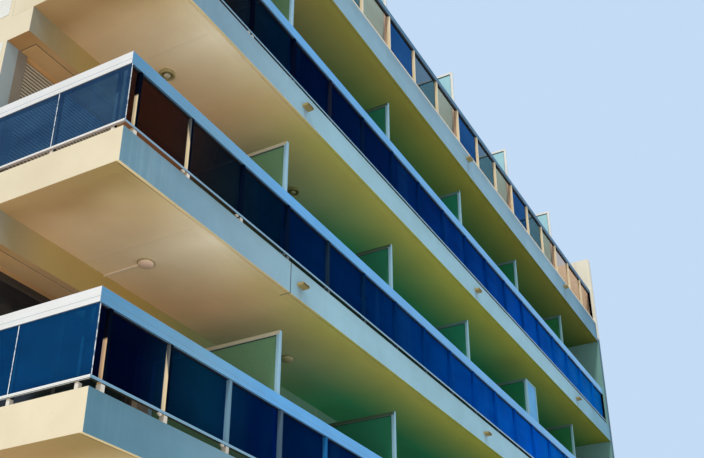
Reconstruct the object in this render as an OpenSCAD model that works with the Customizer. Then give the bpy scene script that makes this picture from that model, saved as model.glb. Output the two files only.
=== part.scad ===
/* [Building] */
// Width of one studio, from party line to party line
bay_w = 3000; // [2700:50:3600]
// Number of studios side by side on each storey
bays = 6; // [3:1:7]
// Ground storey, from the ground to the underside of the first balcony
ground_h = 4490; // [3600:10:5000]
// Height of each upper storey
storey_h = 2750; // [2650:10:3200]
// Depth from the balcony fronts to the rear face
building_d = 10500; // [8000:100:13000]
// Thickness of the gable walls
gable_t = 180; // [150:10:260]
// Thickness of the front and rear walls
wall_t = 200; // [150:10:300]
// Thickness of the floors and of the roof
slab_t = 200; // [160:10:260]

/* [Balcony] */
// Balcony depth, from the fascia's outer face to the beam's face
balcony_d = 1667; // [1300:1:1900]
// Height of the fascia, from the underside of the floor
fascia_h = 418; // [340:1:450]
// Height of the terrace's fascia
terrace_fascia_h = 530; // [418:1:560]
// Thickness of the fascia
fascia_t = 150; // [140:5:200]
// Thickness of the beam under each balcony, against the front wall
beam_t = 345; // [200:5:450]
// Drop of the beam below the balcony's underside
beam_drop = 368; // [250:1:450]

/* [Balustrade] */
// Top of the handrail above the fascia
rail_top = 1003; // [950:1:1150]
// Height of the handrail's profile
rail_h = 166; // [80:1:200]
// Height of the terrace's slimmer handrail
terrace_rail_h = 112; // [80:1:200]
// Depth of the handrail's profile, front to back
rail_d = 65; // [55:1:75]
// Set-back of the handrail from the fascia's outer face
rail_inset = 47; // [20:1:50]
// Gap between the fascia and the bottom rail
rail_gap = 105; // [40:1:120]
// Height of the bottom rail
bottom_rail_h = 30; // [20:1:60]
// Depth of the bottom rail on the side
bottom_rail_d = 25; // [20:1:28]
// Thickness of the bottom rail's face in front of the posts
bottom_rail_t = 5; // [3:1:8]
// Width of a post
post_w = 40; // [30:1:50]
// Distance of the corner posts from the corner, to the post's centre
corner_post = 220; // [120:5:300]
// Centre of the second post on the side balustrade
side_post = 1040; // [700:5:1200]
// Posts to each studio
posts_per_bay = 3; // [2:1:4]
// Thickness of the balustrade's glass
glass_t = 10; // [8:1:12]
// Distance of the front panes from the handrail's inner face
glass_back = 4; // [2:1:12]
// Joint between a pane and a post
glass_joint = 3; // [1:1:8]

/* [Dividers] */
// Gap between a divider and the underside of the beam over it
divider_gap = 112; // [40:1:400]
// Rise of the roofless terrace's end wall above the underside of the front lintel
terrace_rise = 116; // [0:1:300]
// Drop of the terrace's dividers below the top of that end wall
terrace_drop = 60; // [0:5:200]
// Face width of the dividers' frames
divider_bar = 50; // [30:1:70]
// Thickness of the dividers' panes
pane_t = 12; // [6:1:20]
// Width of the flat screen beside one divider
screen_w = 550; // [300:10:900]
// Thickness of that screen
screen_t = 30; // [20:1:48]

/* [Windows] */
// Width of the pier between two studios' sliding doors
pier_w = 460; // [400:10:900]
// Face width of the window and door frames
frame_bar = 55; // [40:1:80]
// Depth of the window and door frames
frame_d = 60; // [40:1:80]
// Thickness of the window panes
window_glass_t = 20; // [6:1:30]
// Set-back of the frames behind the wall face
frame_set = 90; // [70:5:110]
// Height of the ground storey's doors, below their fanlights
transom_h = 2300; // [2100:20:2600]
// Height of a fanlight's lower edge bar
transom_bar = 90; // [60:5:140]
// Width of a rear window
rear_win_w = 1400; // [900:50:1800]
// Height of a rear window
rear_win_h = 1200; // [800:50:1300]
// Height of a rear window's sill above the floor
rear_sill = 900; // [700:50:1100]
// Thickness of the roller shutter's curtain
shutter_t = 14; // [10:1:20]
// Face width of the shutter's guides
guide_w = 35; // [20:1:50]

/* [Roof] */
// Height of the roof parapet above the roof slab
parapet_h = 450; // [200:10:700]
// Thickness of the parapet
parapet_t = 150; // [100:10:200]
// Thickness of the coping
coping_t = 40; // [20:5:80]
// Overhang of the coping
coping_out = 20; // [10:1:40]

/* [Fittings] */
// Width of a drain spout
spout_w = 150; // [60:5:200]
// Height of a drain spout
spout_h = 40; // [30:5:60]
// Reach of a drain spout beyond the fascia
spout_out = 90; // [40:5:150]
// Distance of a spout from its party line
spout_x = 220; // [150:10:600]
// Centre of a spout above the underside of the fascia
spout_z = 185; // [100:5:300]
// Centre of a terrace spout above the underside of the fascia
terrace_spout_z = 350; // [200:5:370]
// Radius of a ceiling light
light_r = 102; // [60:1:150]
// Height of a ceiling light
light_h = 64; // [40:1:100]
// Distance of a ceiling light from the fascia's outer face
light_y = 1045; // [600:5:1300]
// Distance of a ceiling light from the middle of its studio
light_x = 90; // [0:10:400]
// Width and depth of the light's cable trunking
trunking_w = 20; // [12:1:30]
// Relief of the pale panels on the gables
panel_t = 8; // [5:1:15]
// Distance of a gable panel from the edges of its wall
panel_edge = 60; // [40:5:200]

/* [Hidden] */

// Colours
render_colour = [0.90, 0.85, 0.74];
shade_colour = [0.66, 0.60, 0.45];
white_colour = [0.88, 0.88, 0.85];
metal_colour = [0.80, 0.84, 0.88];
frame_colour = [0.55, 0.57, 0.58];
glass_colour = [0.10, 0.18, 0.30, 0.6];
pane_colour = [0.45, 0.60, 0.52, 0.8];
spout_colour = [0.62, 0.50, 0.25];

// Building lines, from the front left corner of the balconies at the ground
building_l = bays * bay_w + gable_t;
wall_y = balcony_d + beam_t;
inner_x0 = gable_t;
inner_x1 = building_l - gable_t;
inner_w = inner_x1 - inner_x0;
upper_levels = [1, 2, 3, 4];
terrace_level = 4;
roof_level = 5;
joint_gap = 0.5;
door_w = bay_w - pier_w;

// Centres of the posts
front_posts = [
    corner_post,
    for (i = [1:bays * posts_per_bay - 1]) gable_t / 2 + i * bay_w / posts_per_bay,
    inner_x1 - post_w / 2
];
side_posts = [corner_post, side_post];

// Heights above the underside of a balcony
function fascia_top(level) = level == terrace_level ? terrace_fascia_h : fascia_h;
function rail_h_at(level) = level == terrace_level ? terrace_rail_h : rail_h;
function post_h(level) = rail_top - rail_h_at(level);
function post_top(level) = fascia_top(level) + post_h(level);
function bottom_rail_z(level) = fascia_top(level) + rail_gap;
lintel_z = storey_h - beam_drop;
door_h = lintel_z - slab_t;
divider_top = lintel_z - divider_gap;
terrace_top = lintel_z + terrace_rise;
ground_door_h = ground_h - beam_drop - slab_t;

// The roof
roof_top = level_z(roof_level) + slab_t + parapet_h;
fin_top = level_z(terrace_level) + terrace_top;

// Underside of a level's floor
function level_z(level) = level == 0 ? 0 : ground_h + (level - 1) * storey_h;

// Clear height of a level, from its floor to the next underside
function clear_h(level) = level_z(level + 1) - level_z(level) - slab_t;

// Centre line of a party wall; line 0 and line bays are the gables
function party_x(line) = gable_t / 2 + line * bay_w;

// Centre of a studio
function bay_x(bay) = party_x(bay) + bay_w / 2;

// Moves the building so that the middle of its outline is the origin
module place() {
    translate([-building_l / 2, (spout_out - building_d - coping_out) / 2, 0]) children();
}

// A wall cut from its front view, its face at the given depth
module front_view(y, thickness) {
    translate([0, y + thickness, 0]) rotate([90, 0, 0]) linear_extrude(thickness) children();
}

// A wall cut from its side view, its face at the given place
module side_view(x, thickness) {
    translate([x, 0, 0]) rotate([90, 0, 90]) linear_extrude(thickness) children();
}

// Two lengths of a profile that meet in a mitre at the balcony's front left corner
module mitred_corner(inset, depth, z, height, front_end, side_end) {
    translate([0, 0, z]) linear_extrude(height) {
        polygon([
            [inset + joint_gap, inset], [front_end, inset],
            [front_end, inset + depth], [inset + depth + joint_gap, inset + depth]
        ]);
        polygon([
            [inset, inset + joint_gap], [inset + depth, inset + depth + joint_gap],
            [inset + depth, side_end], [inset, side_end]
        ]);
    }
}

// Floors

module ground_slab() {
    color(shade_colour) place()
        translate([inner_x0, wall_y, 0]) cube([inner_w, building_d - wall_y, slab_t]);
}

module floor_slab(level) {
    color(shade_colour) place()
        translate([0, 0, level_z(level)]) linear_extrude(slab_t)
            polygon([
                [fascia_t, fascia_t], [inner_x1, fascia_t], [inner_x1, building_d],
                [inner_x0, building_d], [inner_x0, wall_y], [fascia_t, wall_y]
            ]);
}

// Fascia along the front, and the shorter length behind it on the left side
module balcony_fascia(level) {
    side_y = fascia_t + joint_gap;
    color(render_colour) place()
        translate([0, 0, level_z(level)]) {
            cube([inner_x1, fascia_t, fascia_top(level)]);
            translate([0, side_y, 0]) cube([fascia_t, wall_y - side_y, fascia_top(level)]);
        }
}

module roof_slab() {
    color(shade_colour) place()
        translate([inner_x0, wall_y, level_z(roof_level)])
            cube([inner_w, building_d - wall_y, slab_t]);
}

module roof_parapets() {
    color(render_colour) place()
        for (y = [wall_y, building_d - parapet_t])
            translate([inner_x0, y, level_z(roof_level) + slab_t])
                cube([inner_w, parapet_t, parapet_h]);
}

// Lengths of coping along the parapets, and shorter ones between them on the gables
module parapet_coping() {
    long_w = parapet_t + 2 * coping_out;
    short_w = gable_t + 2 * coping_out;
    color(metal_colour) place() {
        for (y = [wall_y - coping_out, building_d - parapet_t - coping_out])
            translate([-coping_out, y, roof_top])
                cube([building_l + 2 * coping_out, long_w, coping_t]);
        for (x = [-coping_out, inner_x1 - coping_out])
            translate([x, wall_y - coping_out + long_w + joint_gap, roof_top])
                cube([
                    short_w,
                    building_d - wall_y + 2 * coping_out - 2 * (long_w + joint_gap),
                    coping_t
                ]);
    }
}

// Front wall

module front_beams() {
    color(render_colour) place()
        for (level = upper_levels)
            translate([0, balcony_d, level_z(level) - beam_drop])
                cube([inner_x1, beam_t, beam_drop]);
}

module front_lintels() {
    color(render_colour) place()
        for (level = [1:roof_level])
            translate([inner_x0, wall_y, level_z(level) - beam_drop])
                cube([inner_w, wall_t, beam_drop]);
}

// Piers between the door openings, and half piers against the gables
module front_piers() {
    color(render_colour) place()
        for (level = [0:terrace_level], line = [0:bays]) {
            pier_x0 = max(party_x(line) - pier_w / 2, inner_x0);
            pier_x1 = min(party_x(line) + pier_w / 2, inner_x1);
            translate([pier_x0, wall_y, level_z(level) + slab_t])
                cube([pier_x1 - pier_x0, wall_t, clear_h(level) - beam_drop]);
        }
}

// Gables

module gable_wall_left() {
    color(render_colour) place()
        translate([0, wall_y, 0]) cube([gable_t, building_d - wall_y, roof_top]);
}

// The right gable runs forward as a fin that closes the balconies
module gable_wall_right() {
    color(render_colour) place()
        side_view(inner_x1, gable_t)
            polygon([
                [0, 0], [building_d, 0], [building_d, roof_top],
                [wall_y, roof_top], [wall_y, fin_top], [0, fin_top]
            ]);
}

// Pale panels between the storey bands
module gable_panels() {
    color(white_colour) place()
        for (x = [-panel_t, building_l], level = [0:terrace_level])
            translate([x, wall_y + panel_edge, level_z(level) + panel_edge])
                cube([
                    panel_t, building_d - wall_y - 2 * panel_edge,
                    level_z(level + 1) - level_z(level) - beam_drop - panel_edge
                ]);
}

// Rear wall

module rear_wall(level) {
    color(render_colour) place()
        front_view(building_d - wall_t, wall_t) difference() {
            translate([inner_x0, level_z(level) + slab_t]) square([inner_w, clear_h(level)]);
            for (bay = [0:bays - 1]) rear_opening(bay, level);
        }
}

// Outline of a rear window's opening
module rear_opening(bay, level) {
    translate([bay_x(bay) - rear_win_w / 2, level_z(level) + slab_t + rear_sill])
        square([rear_win_w, rear_win_h]);
}

// Windows and doors

// Outline of a frame of two leaves, w wide and h high
module leaf_frame(w, h) {
    difference() {
        square([w, h]);
        leaf_panes(w, h);
    }
}

// Outlines of that frame's two panes
module leaf_panes(w, h) {
    pane_w = (w - 3 * frame_bar) / 2;
    for (leaf = [0, 1])
        translate([frame_bar + leaf * (pane_w + frame_bar), frame_bar])
            square([pane_w, h - 2 * frame_bar]);
}

// Puts an outline in each studio's opening on the given levels
module door_openings(levels) {
    for (level = levels, bay = [0:bays - 1])
        translate([bay_x(bay) - door_w / 2, level_z(level) + slab_t]) children();
}

module sliding_door_frames() {
    color(frame_colour) place()
        front_view(wall_y + frame_set, frame_d)
            door_openings(upper_levels) leaf_frame(door_w, door_h);
}

module sliding_door_glass() {
    color(glass_colour) place()
        front_view(wall_y + frame_set + (frame_d - window_glass_t) / 2, window_glass_t)
            door_openings(upper_levels) leaf_panes(door_w, door_h);
}

// Outlines of the panes of a ground storey door and its fanlight
module ground_panes() {
    light_z = transom_h + transom_bar - frame_bar;
    leaf_panes(door_w, transom_h + frame_bar);
    translate([0, light_z]) leaf_panes(door_w, ground_door_h - light_z);
}

module ground_door_frames() {
    color(frame_colour) place()
        front_view(wall_y + frame_set, frame_d)
            door_openings([0]) difference() {
                square([door_w, ground_door_h]);
                ground_panes();
            }
}

module ground_door_glass() {
    color(glass_colour) place()
        front_view(wall_y + frame_set + (frame_d - window_glass_t) / 2, window_glass_t)
            door_openings([0]) ground_panes();
}

// Puts an outline in each rear window's opening
module rear_openings() {
    for (level = [0:terrace_level], bay = [0:bays - 1])
        translate([bay_x(bay) - rear_win_w / 2, level_z(level) + slab_t + rear_sill]) children();
}

module rear_window_frames() {
    color(frame_colour) place()
        front_view(building_d - frame_set - frame_d, frame_d)
            rear_openings() leaf_frame(rear_win_w, rear_win_h);
}

module rear_window_glass() {
    color(glass_colour) place()
        front_view(building_d - frame_set - (frame_d + window_glass_t) / 2, window_glass_t)
            rear_openings() leaf_panes(rear_win_w, rear_win_h);
}

// Lowered shutter of the corner studio on the second level, between its two guides
module roller_shutter() {
    level = 2;
    opening_x = bay_x(0) - door_w / 2;
    color(frame_colour) place()
        translate([opening_x, wall_y, level_z(level) + slab_t]) {
            translate([guide_w + joint_gap, frame_set - (guide_w + shutter_t) / 2, 0])
                cube([door_w - 2 * (guide_w + joint_gap), shutter_t, door_h]);
            for (x = [0, door_w - guide_w])
                translate([x, frame_set - guide_w, 0]) cube([guide_w, guide_w, door_h]);
        }
}

// Balustrades

module top_rail(level) {
    color(metal_colour) place()
        mitred_corner(
            rail_inset, rail_d, level_z(level) + post_top(level), rail_h_at(level), inner_x1, wall_y
        );
}

// Outlines of the posts along the front, grown by a clearance
module front_post_outlines(clearance = 0) {
    for (x = front_posts)
        translate([x - post_w / 2 - clearance, rail_inset + bottom_rail_t - clearance])
            square([post_w + 2 * clearance, rail_d - bottom_rail_t + 2 * clearance]);
}

// The front length is notched round the posts, and the side length stands clear of its own
module bottom_rails() {
    side_y = rail_inset + rail_d + joint_gap;
    color(metal_colour) place()
        for (level = upper_levels)
            translate([0, 0, level_z(level) + bottom_rail_z(level)]) linear_extrude(bottom_rail_h) {
                difference() {
                    translate([rail_inset, rail_inset]) square([inner_x1 - rail_inset, rail_d]);
                    front_post_outlines(joint_gap);
                }
                translate([rail_inset, side_y]) square([bottom_rail_d, wall_y - side_y]);
            }
}

module balustrade_posts() {
    color(metal_colour) place()
        for (level = upper_levels)
            translate([0, 0, level_z(level) + fascia_top(level)]) linear_extrude(post_h(level)) {
                front_post_outlines();
                for (y = side_posts)
                    translate([rail_inset + rail_d - post_w, y - post_w / 2]) square(post_w);
            }
}

// Front panes between the posts, and side panes outside theirs
module balustrade_glass(level) {
    side_x = rail_inset + (bottom_rail_d - glass_t) / 2;
    front_y = rail_inset + rail_d - glass_back - glass_t;
    left_ends = [side_x + glass_t + joint_gap, for (x = front_posts) x + post_w / 2 + glass_joint];
    right_ends = [for (x = front_posts) x - post_w / 2 - glass_joint];
    glass_z = bottom_rail_z(level) + bottom_rail_h;
    color(glass_colour) place()
        translate([0, 0, level_z(level) + glass_z]) linear_extrude(post_top(level) - glass_z) {
            for (i = [0:len(right_ends) - 1])
                translate([left_ends[i], front_y]) square([right_ends[i] - left_ends[i], glass_t]);
            translate([side_x, rail_inset])
                square([glass_t, side_post - glass_joint / 2 - rail_inset]);
            translate([side_x, side_post + glass_joint / 2])
                square([glass_t, wall_y - side_post - glass_joint / 2]);
        }
}

// Dividers

// Outline of a divider seen from the side, from the handrail to the front wall, less a margin
module divider_outline(level, margin = 0) {
    divider_h = (level == terrace_level ? terrace_top - terrace_drop : divider_top) - fascia_top(level);
    divider_y = rail_inset + rail_d;
    translate([divider_y + margin, level_z(level) + fascia_top(level) + margin])
        square([wall_y - divider_y - 2 * margin, divider_h - 2 * margin]);
}

module divider_frames() {
    color(metal_colour) place()
        for (level = upper_levels, line = [1:bays - 1])
            side_view(party_x(line) - divider_bar / 2, divider_bar) difference() {
                divider_outline(level);
                divider_outline(level, divider_bar);
            }
}

module divider_panes() {
    color(pane_colour) place()
        for (level = upper_levels, line = [1:bays - 1])
            side_view(party_x(line) - pane_t / 2, pane_t)
                divider_outline(level, divider_bar);
}

// Flat screen beside the fourth divider of the second level
module balcony_screen() {
    screen_level = 2;
    screen_line = bays - 2;
    color(metal_colour) place()
        translate([
            party_x(screen_line) + divider_bar / 2, rail_inset + rail_d,
            level_z(screen_level) + fascia_h
        ]) cube([screen_w, screen_t, divider_top - fascia_h]);
}

// Fittings

module drain_spouts() {
    color(spout_colour) place()
        for (level = upper_levels, line = [1:2:bays - 1])
            translate([
                party_x(line) + spout_x - spout_w / 2, -spout_out,
                level_z(level) + (level == terrace_level ? terrace_spout_z : spout_z) - spout_h / 2
            ]) cube([spout_w, spout_out, spout_h]);
}

// A light under each balcony, and the trunking from the beam to one of the corner lights
module ceiling_lights() {
    trunking_level = 2;
    color(shade_colour) place() {
        for (level = upper_levels, bay = [0:bays - 1])
            translate([bay_x(bay) + light_x, light_y, level_z(level) - light_h])
                cylinder(h = light_h, r = light_r, $fn = 48);
        translate([
            bay_x(0) + light_x - trunking_w / 2, light_y, level_z(trunking_level) - trunking_w
        ]) cube([trunking_w, balcony_d - light_y, trunking_w]);
    }
}

ground_slab();
floor_slab(1);  // floor_slab_1
floor_slab(2);  // floor_slab_2
floor_slab(3);  // floor_slab_3
floor_slab(4);  // floor_slab_4
balcony_fascia(1);  // balcony_fascia_1
balcony_fascia(2);  // balcony_fascia_2
balcony_fascia(3);  // balcony_fascia_3
balcony_fascia(4);  // balcony_fascia_4
roof_slab();
roof_parapets();
parapet_coping();
front_beams();
front_lintels();
front_piers();
gable_wall_left();
gable_wall_right();
gable_panels();
rear_wall(0);  // rear_wall_ground
rear_wall(1);  // rear_wall_1
rear_wall(2);  // rear_wall_2
rear_wall(3);  // rear_wall_3
rear_wall(4);  // rear_wall_4
sliding_door_frames();
sliding_door_glass();
ground_door_frames();
ground_door_glass();
rear_window_frames();
rear_window_glass();
roller_shutter();
top_rail(1);  // top_rail_1
top_rail(2);  // top_rail_2
top_rail(3);  // top_rail_3
top_rail(4);  // top_rail_4
bottom_rails();
balustrade_posts();
balustrade_glass(1);  // balustrade_glass_1
balustrade_glass(2);  // balustrade_glass_2
balustrade_glass(3);  // balustrade_glass_3
balustrade_glass(4);  // balustrade_glass_4
divider_frames();
divider_panes();
balcony_screen();
drain_spouts();
ceiling_lights();
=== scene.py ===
import math

import bmesh
import bpy
from mathutils import Matrix, Vector


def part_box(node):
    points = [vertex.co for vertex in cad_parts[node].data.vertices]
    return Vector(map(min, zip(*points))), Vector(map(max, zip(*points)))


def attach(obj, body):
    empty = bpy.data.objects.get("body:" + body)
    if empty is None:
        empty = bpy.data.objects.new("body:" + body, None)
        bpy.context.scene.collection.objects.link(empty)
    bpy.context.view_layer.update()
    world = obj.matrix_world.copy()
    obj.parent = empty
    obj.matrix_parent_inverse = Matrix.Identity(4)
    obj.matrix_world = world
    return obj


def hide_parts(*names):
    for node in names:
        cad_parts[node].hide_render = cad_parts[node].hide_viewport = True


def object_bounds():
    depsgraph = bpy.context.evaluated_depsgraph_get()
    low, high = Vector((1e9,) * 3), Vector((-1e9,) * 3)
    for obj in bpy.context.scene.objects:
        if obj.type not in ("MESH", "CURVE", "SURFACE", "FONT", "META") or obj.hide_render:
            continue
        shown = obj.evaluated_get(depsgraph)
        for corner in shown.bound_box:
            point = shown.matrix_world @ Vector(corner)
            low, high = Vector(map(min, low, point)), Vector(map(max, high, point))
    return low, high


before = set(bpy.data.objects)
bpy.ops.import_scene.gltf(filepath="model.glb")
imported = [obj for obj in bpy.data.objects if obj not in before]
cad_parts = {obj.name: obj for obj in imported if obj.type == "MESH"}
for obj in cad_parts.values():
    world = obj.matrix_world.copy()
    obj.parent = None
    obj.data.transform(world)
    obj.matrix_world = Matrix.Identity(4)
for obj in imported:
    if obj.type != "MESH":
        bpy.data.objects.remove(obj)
cadLow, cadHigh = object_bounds()
scene = bpy.context.scene
print("frame loaded:", len(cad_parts), "nodes")

# Camera at standing eye height, off the block's left corner
cameraValues = {
    "eye": (-14.7907, -10.9039, 1.6800),
    "yaw": 60.6904,
    "pitch": 27.6326,
    "roll": 0.2249,
    "lens": 50.4697,
    "shift": (0.0098, 0.1),
}


def makeCamera():
    yaw, pitch, roll = (math.radians(cameraValues[name]) for name in ("yaw", "pitch", "roll"))
    ahead = Vector((math.sin(yaw) * math.cos(pitch), math.cos(yaw) * math.cos(pitch), math.sin(pitch)))
    levelRight = Vector((math.cos(yaw), -math.sin(yaw), 0))
    levelUp = levelRight.cross(ahead)
    right = levelRight * math.cos(roll) + levelUp * math.sin(roll)
    up = levelUp * math.cos(roll) - levelRight * math.sin(roll)
    camera = bpy.data.objects.new("camera", bpy.data.cameras.new("camera"))
    scene.collection.objects.link(camera)
    turn = Matrix((right, up, -ahead)).transposed().to_4x4()
    camera.matrix_world = Matrix.Translation(cameraValues["eye"]) @ turn
    camera.data.lens = cameraValues["lens"]
    camera.data.shift_x, camera.data.shift_y = cameraValues["shift"]
    camera.data.clip_end = 500
    scene.camera = camera


makeCamera()

# Building lines, all read from the frame
levels = (1, 2, 3, 4)
terraceLevel = 4
bays = 6
dividerBar = 0.05  # face width of a divider's frame

levelZ = {level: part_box(f"balcony_fascia_{level}")[0].z for level in levels}
fasciaTop = {level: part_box(f"balcony_fascia_{level}")[1].z for level in levels}
storeyHeight = levelZ[2] - levelZ[1]
leftX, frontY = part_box("balcony_fascia_1")[0].xy
endX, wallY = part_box("balcony_fascia_1")[1].xy
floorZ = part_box("floor_slab_1")[1].z - levelZ[1]  # floor above the underside of its level
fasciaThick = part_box("floor_slab_1")[0].x - leftX
beamLow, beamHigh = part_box("front_beams")
beamDrop = levelZ[1] - beamLow.z
dividerLow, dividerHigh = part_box("divider_frames")
bayWidth = (dividerHigh.x - dividerLow.x - dividerBar) / (bays - 2)
railLow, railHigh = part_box("top_rail_1")
railInset = railLow.x - leftX
railDepth = dividerLow.y - railLow.y
railUnder = railLow.z - levelZ[1]
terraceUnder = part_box("top_rail_4")[0].z - levelZ[terraceLevel]


def partyX(line):
    return dividerLow.x + dividerBar / 2 + (line - 1) * bayWidth


def bayX(bay):
    return partyX(bay) + bayWidth / 2


# Node helpers, for shader and geometry trees alike


def addNode(tree, kind, values=None, **settings):
    node = tree.nodes.new(kind)
    for name, value in settings.items():
        setattr(node, name, value)
    for name, value in (values or {}).items():
        if isinstance(value, bpy.types.NodeSocket):
            tree.links.new(value, node.inputs[name])
        else:
            node.inputs[name].default_value = value
    return node


def newTree(name, kind, inputs, outputs):
    tree = bpy.data.node_groups.new(name, kind)
    for label, (socketType, value) in inputs.items():
        socket = tree.interface.new_socket(name=label, in_out="INPUT", socket_type=socketType)
        if value is not None:
            socket.default_value = value
    for label, socketType in outputs.items():
        tree.interface.new_socket(name=label, in_out="OUTPUT", socket_type=socketType)
    return tree, tree.nodes.new("NodeGroupInput").outputs, tree.nodes.new("NodeGroupOutput").inputs


def number(value):
    return ("NodeSocketFloat", value)


def colour(red, green, blue):
    channels = (part / 255 for part in (red, green, blue))
    return tuple(c / 12.92 if c <= 0.04045 else ((c + 0.055) / 1.055) ** 2.4 for c in channels) + (1.0,)


def stops(*rows):
    # Rows of metres from the left corner and the colour there
    return tuple((distance, colour(*tone)) for distance, *tone in rows)


def maths(tree, operation, first, second=0.0, clamp=False):
    node = addNode(tree, "ShaderNodeMath", {0: first, 1: second}, operation=operation, use_clamp=clamp)
    return node.outputs[0]


def times(tree, first, *others):
    for other in others:
        first = maths(tree, "MULTIPLY", first, other)
    return first


def opposite(tree, mask):
    return maths(tree, "SUBTRACT", 1.0, mask)


def apart(tree, first, second):
    return maths(tree, "ABSOLUTE", maths(tree, "SUBTRACT", first, second))


def mapped(tree, value, fromLow, fromHigh, toLow=0.0, toHigh=1.0):
    places = {"Value": value, "From Min": fromLow, "From Max": fromHigh, "To Min": toLow, "To Max": toHigh}
    return addNode(tree, "ShaderNodeMapRange", places).outputs[0]


def mixed(tree, factor, first, second, blend="MIX"):
    values = {0: factor, 6: first, 7: second}  # the colour sockets of the node
    return addNode(tree, "ShaderNodeMix", values, data_type="RGBA", blend_type=blend).outputs[2]


def shaded(tree, base, mask, amount, tone):
    # Darkens a colour by a tone as far as a mask says
    return mixed(tree, times(tree, mask, amount), base, tone, "MULTIPLY")


def noise(tree, place, scale, detail=3.0, roughness=0.5):
    values = {"Vector": place, "Scale": scale, "Detail": detail, "Roughness": roughness}
    return addNode(tree, "ShaderNodeTexNoise", values).outputs["Fac"]


def objectPlace(tree):
    return addNode(tree, "ShaderNodeTexCoord").outputs["Object"]


def stretchedNoise(tree, scale, detail=3.0, roughness=0.5):
    # Noise with a scale of its own along each axis
    place = addNode(tree, "ShaderNodeMapping", {"Vector": objectPlace(tree), "Scale": scale}).outputs[0]
    return noise(tree, place, 1.0, detail, roughness)


def parts(tree, vector):
    return addNode(tree, "ShaderNodeSeparateXYZ", {0: vector}).outputs[:3]


def axes(tree):
    return parts(tree, objectPlace(tree))


def placeGroup(tree, group, values=None):
    return addNode(tree, "ShaderNodeGroup", values, node_tree=group).outputs


def alongFront(tree, tones, wander=0.0):
    # Colours set at distances from the left corner, blended along the balconies
    place = objectPlace(tree)
    x = parts(tree, place)[0]
    if wander:
        x = maths(tree, "ADD", x, mapped(tree, noise(tree, place, 0.55, 2.0), 0.0, 1.0, -wander, wander))
    ramp = addNode(tree, "ShaderNodeValToRGB", {0: mapped(tree, x, leftX, endX)})
    elements = ramp.color_ramp.elements
    while len(elements) < len(tones):
        elements.new(1.0)
    for element, (distance, tone) in zip(elements, tones):
        element.position = distance / (endX - leftX)
        element.color = tone
    return ramp.outputs[0]


def toneOf(tree, tone):
    # A plain colour, or stops along the balconies
    return alongFront(tree, tone) if isinstance(tone[0], tuple) else tone


# Masks by height


def between(tree, start, full):
    # 0 at one height and 1 at another
    return mapped(tree, axes(tree)[2], start, full)


def onUpper(tree):
    return between(tree, levelZ[terraceLevel] - 0.6, levelZ[terraceLevel] - 0.5)


def onTerrace(tree):
    return between(tree, fasciaTop[terraceLevel] - 0.1, fasciaTop[terraceLevel])


def onLowest(tree):
    return between(tree, levelZ[2] - 0.1, levelZ[2] - 0.2)


# Shared shader groups


def makeGrainGroup():
    inputs = {"Grain scale": number(180.0), "Patch scale": number(0.9)}
    outputs = {"Grain": "NodeSocketFloat", "Patches": "NodeSocketFloat", "Specks": "NodeSocketFloat"}
    tree, given, result = newTree("render grain", "ShaderNodeTree", inputs, outputs)
    place = objectPlace(tree)
    patches = noise(tree, place, given["Patch scale"], 6.0, 0.58)
    specks = noise(tree, place, 38.0, 2.0)
    tree.links.new(noise(tree, place, given["Grain scale"], 4.0, 0.6), result["Grain"])
    tree.links.new(mapped(tree, patches, 0.32, 0.68), result["Patches"])
    tree.links.new(mapped(tree, specks, 0.66, 0.78), result["Specks"])
    return tree


def makeStreakGroup():
    inputs = {"Spacing": number(9.0), "Length": number(0.5)}
    tree, given, result = newTree("rain streaks", "ShaderNodeTree", inputs, {"Streaks": "NodeSocketFloat"})
    spacing, length = given["Spacing"], given["Length"]
    scale = addNode(tree, "ShaderNodeCombineXYZ", {0: spacing, 1: spacing, 2: length}).outputs[0]
    runs = stretchedNoise(tree, scale, 5.0, 0.62)
    breaks = noise(tree, objectPlace(tree), 1.6, 2.0)
    streaks = times(tree, mapped(tree, runs, 0.52, 0.72), mapped(tree, breaks, 0.38, 0.62))
    tree.links.new(streaks, result["Streaks"])
    return tree


def makeFacingGroup():
    # Which way a face looks: along -X, along -Y, down or up
    labels = ("Side", "Front", "Under", "Top")
    outputs = {label: "NodeSocketFloat" for label in labels}
    tree, _, result = newTree("facing", "ShaderNodeTree", {}, outputs)
    x, y, z = parts(tree, addNode(tree, "ShaderNodeTexCoord").outputs["Normal"])
    for label, value, sign in zip(labels, (x, y, z, z), (-1, -1, -1, 1)):
        tree.links.new(mapped(tree, value, 0.35 * sign, 0.75 * sign), result[label])
    return tree


def makeStoreyGroup():
    # Height above the underside of the balcony next below
    tree, _, result = newTree("storey height", "ShaderNodeTree", {}, {"Height": "NodeSocketFloat"})
    aboveFirst = maths(tree, "SUBTRACT", axes(tree)[2], levelZ[1] - 0.001)
    tree.links.new(maths(tree, "FLOORED_MODULO", aboveFirst, storeyHeight), result["Height"])
    return tree


grainGroup = makeGrainGroup()
streakGroup = makeStreakGroup()
facingGroup = makeFacingGroup()
storeyGroup = makeStoreyGroup()


def grainOf(tree, grainScale, patchScale):
    return placeGroup(tree, grainGroup, {"Grain scale": grainScale, "Patch scale": patchScale})


def streaksOf(tree, spacing, length):
    return placeGroup(tree, streakGroup, {"Spacing": spacing, "Length": length})["Streaks"]


def storeyHeightOf(tree):
    return placeGroup(tree, storeyGroup)["Height"]


# Materials


def newMaterial(name, roughness=0.6, **sockets):
    material = bpy.data.materials.new(name)
    material.use_nodes = True
    shader = material.node_tree.nodes["Principled BSDF"]
    shader.inputs["Roughness"].default_value = roughness
    for label, value in sockets.items():
        shader.inputs[label.replace("_", " ")].default_value = value
    return material, material.node_tree, shader.inputs


def relief(tree, shader, height, distance, strength):
    values = {"Height": height, "Distance": distance, "Strength": strength}
    tree.links.new(addNode(tree, "ShaderNodeBump", values).outputs[0], shader["Normal"])


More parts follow.
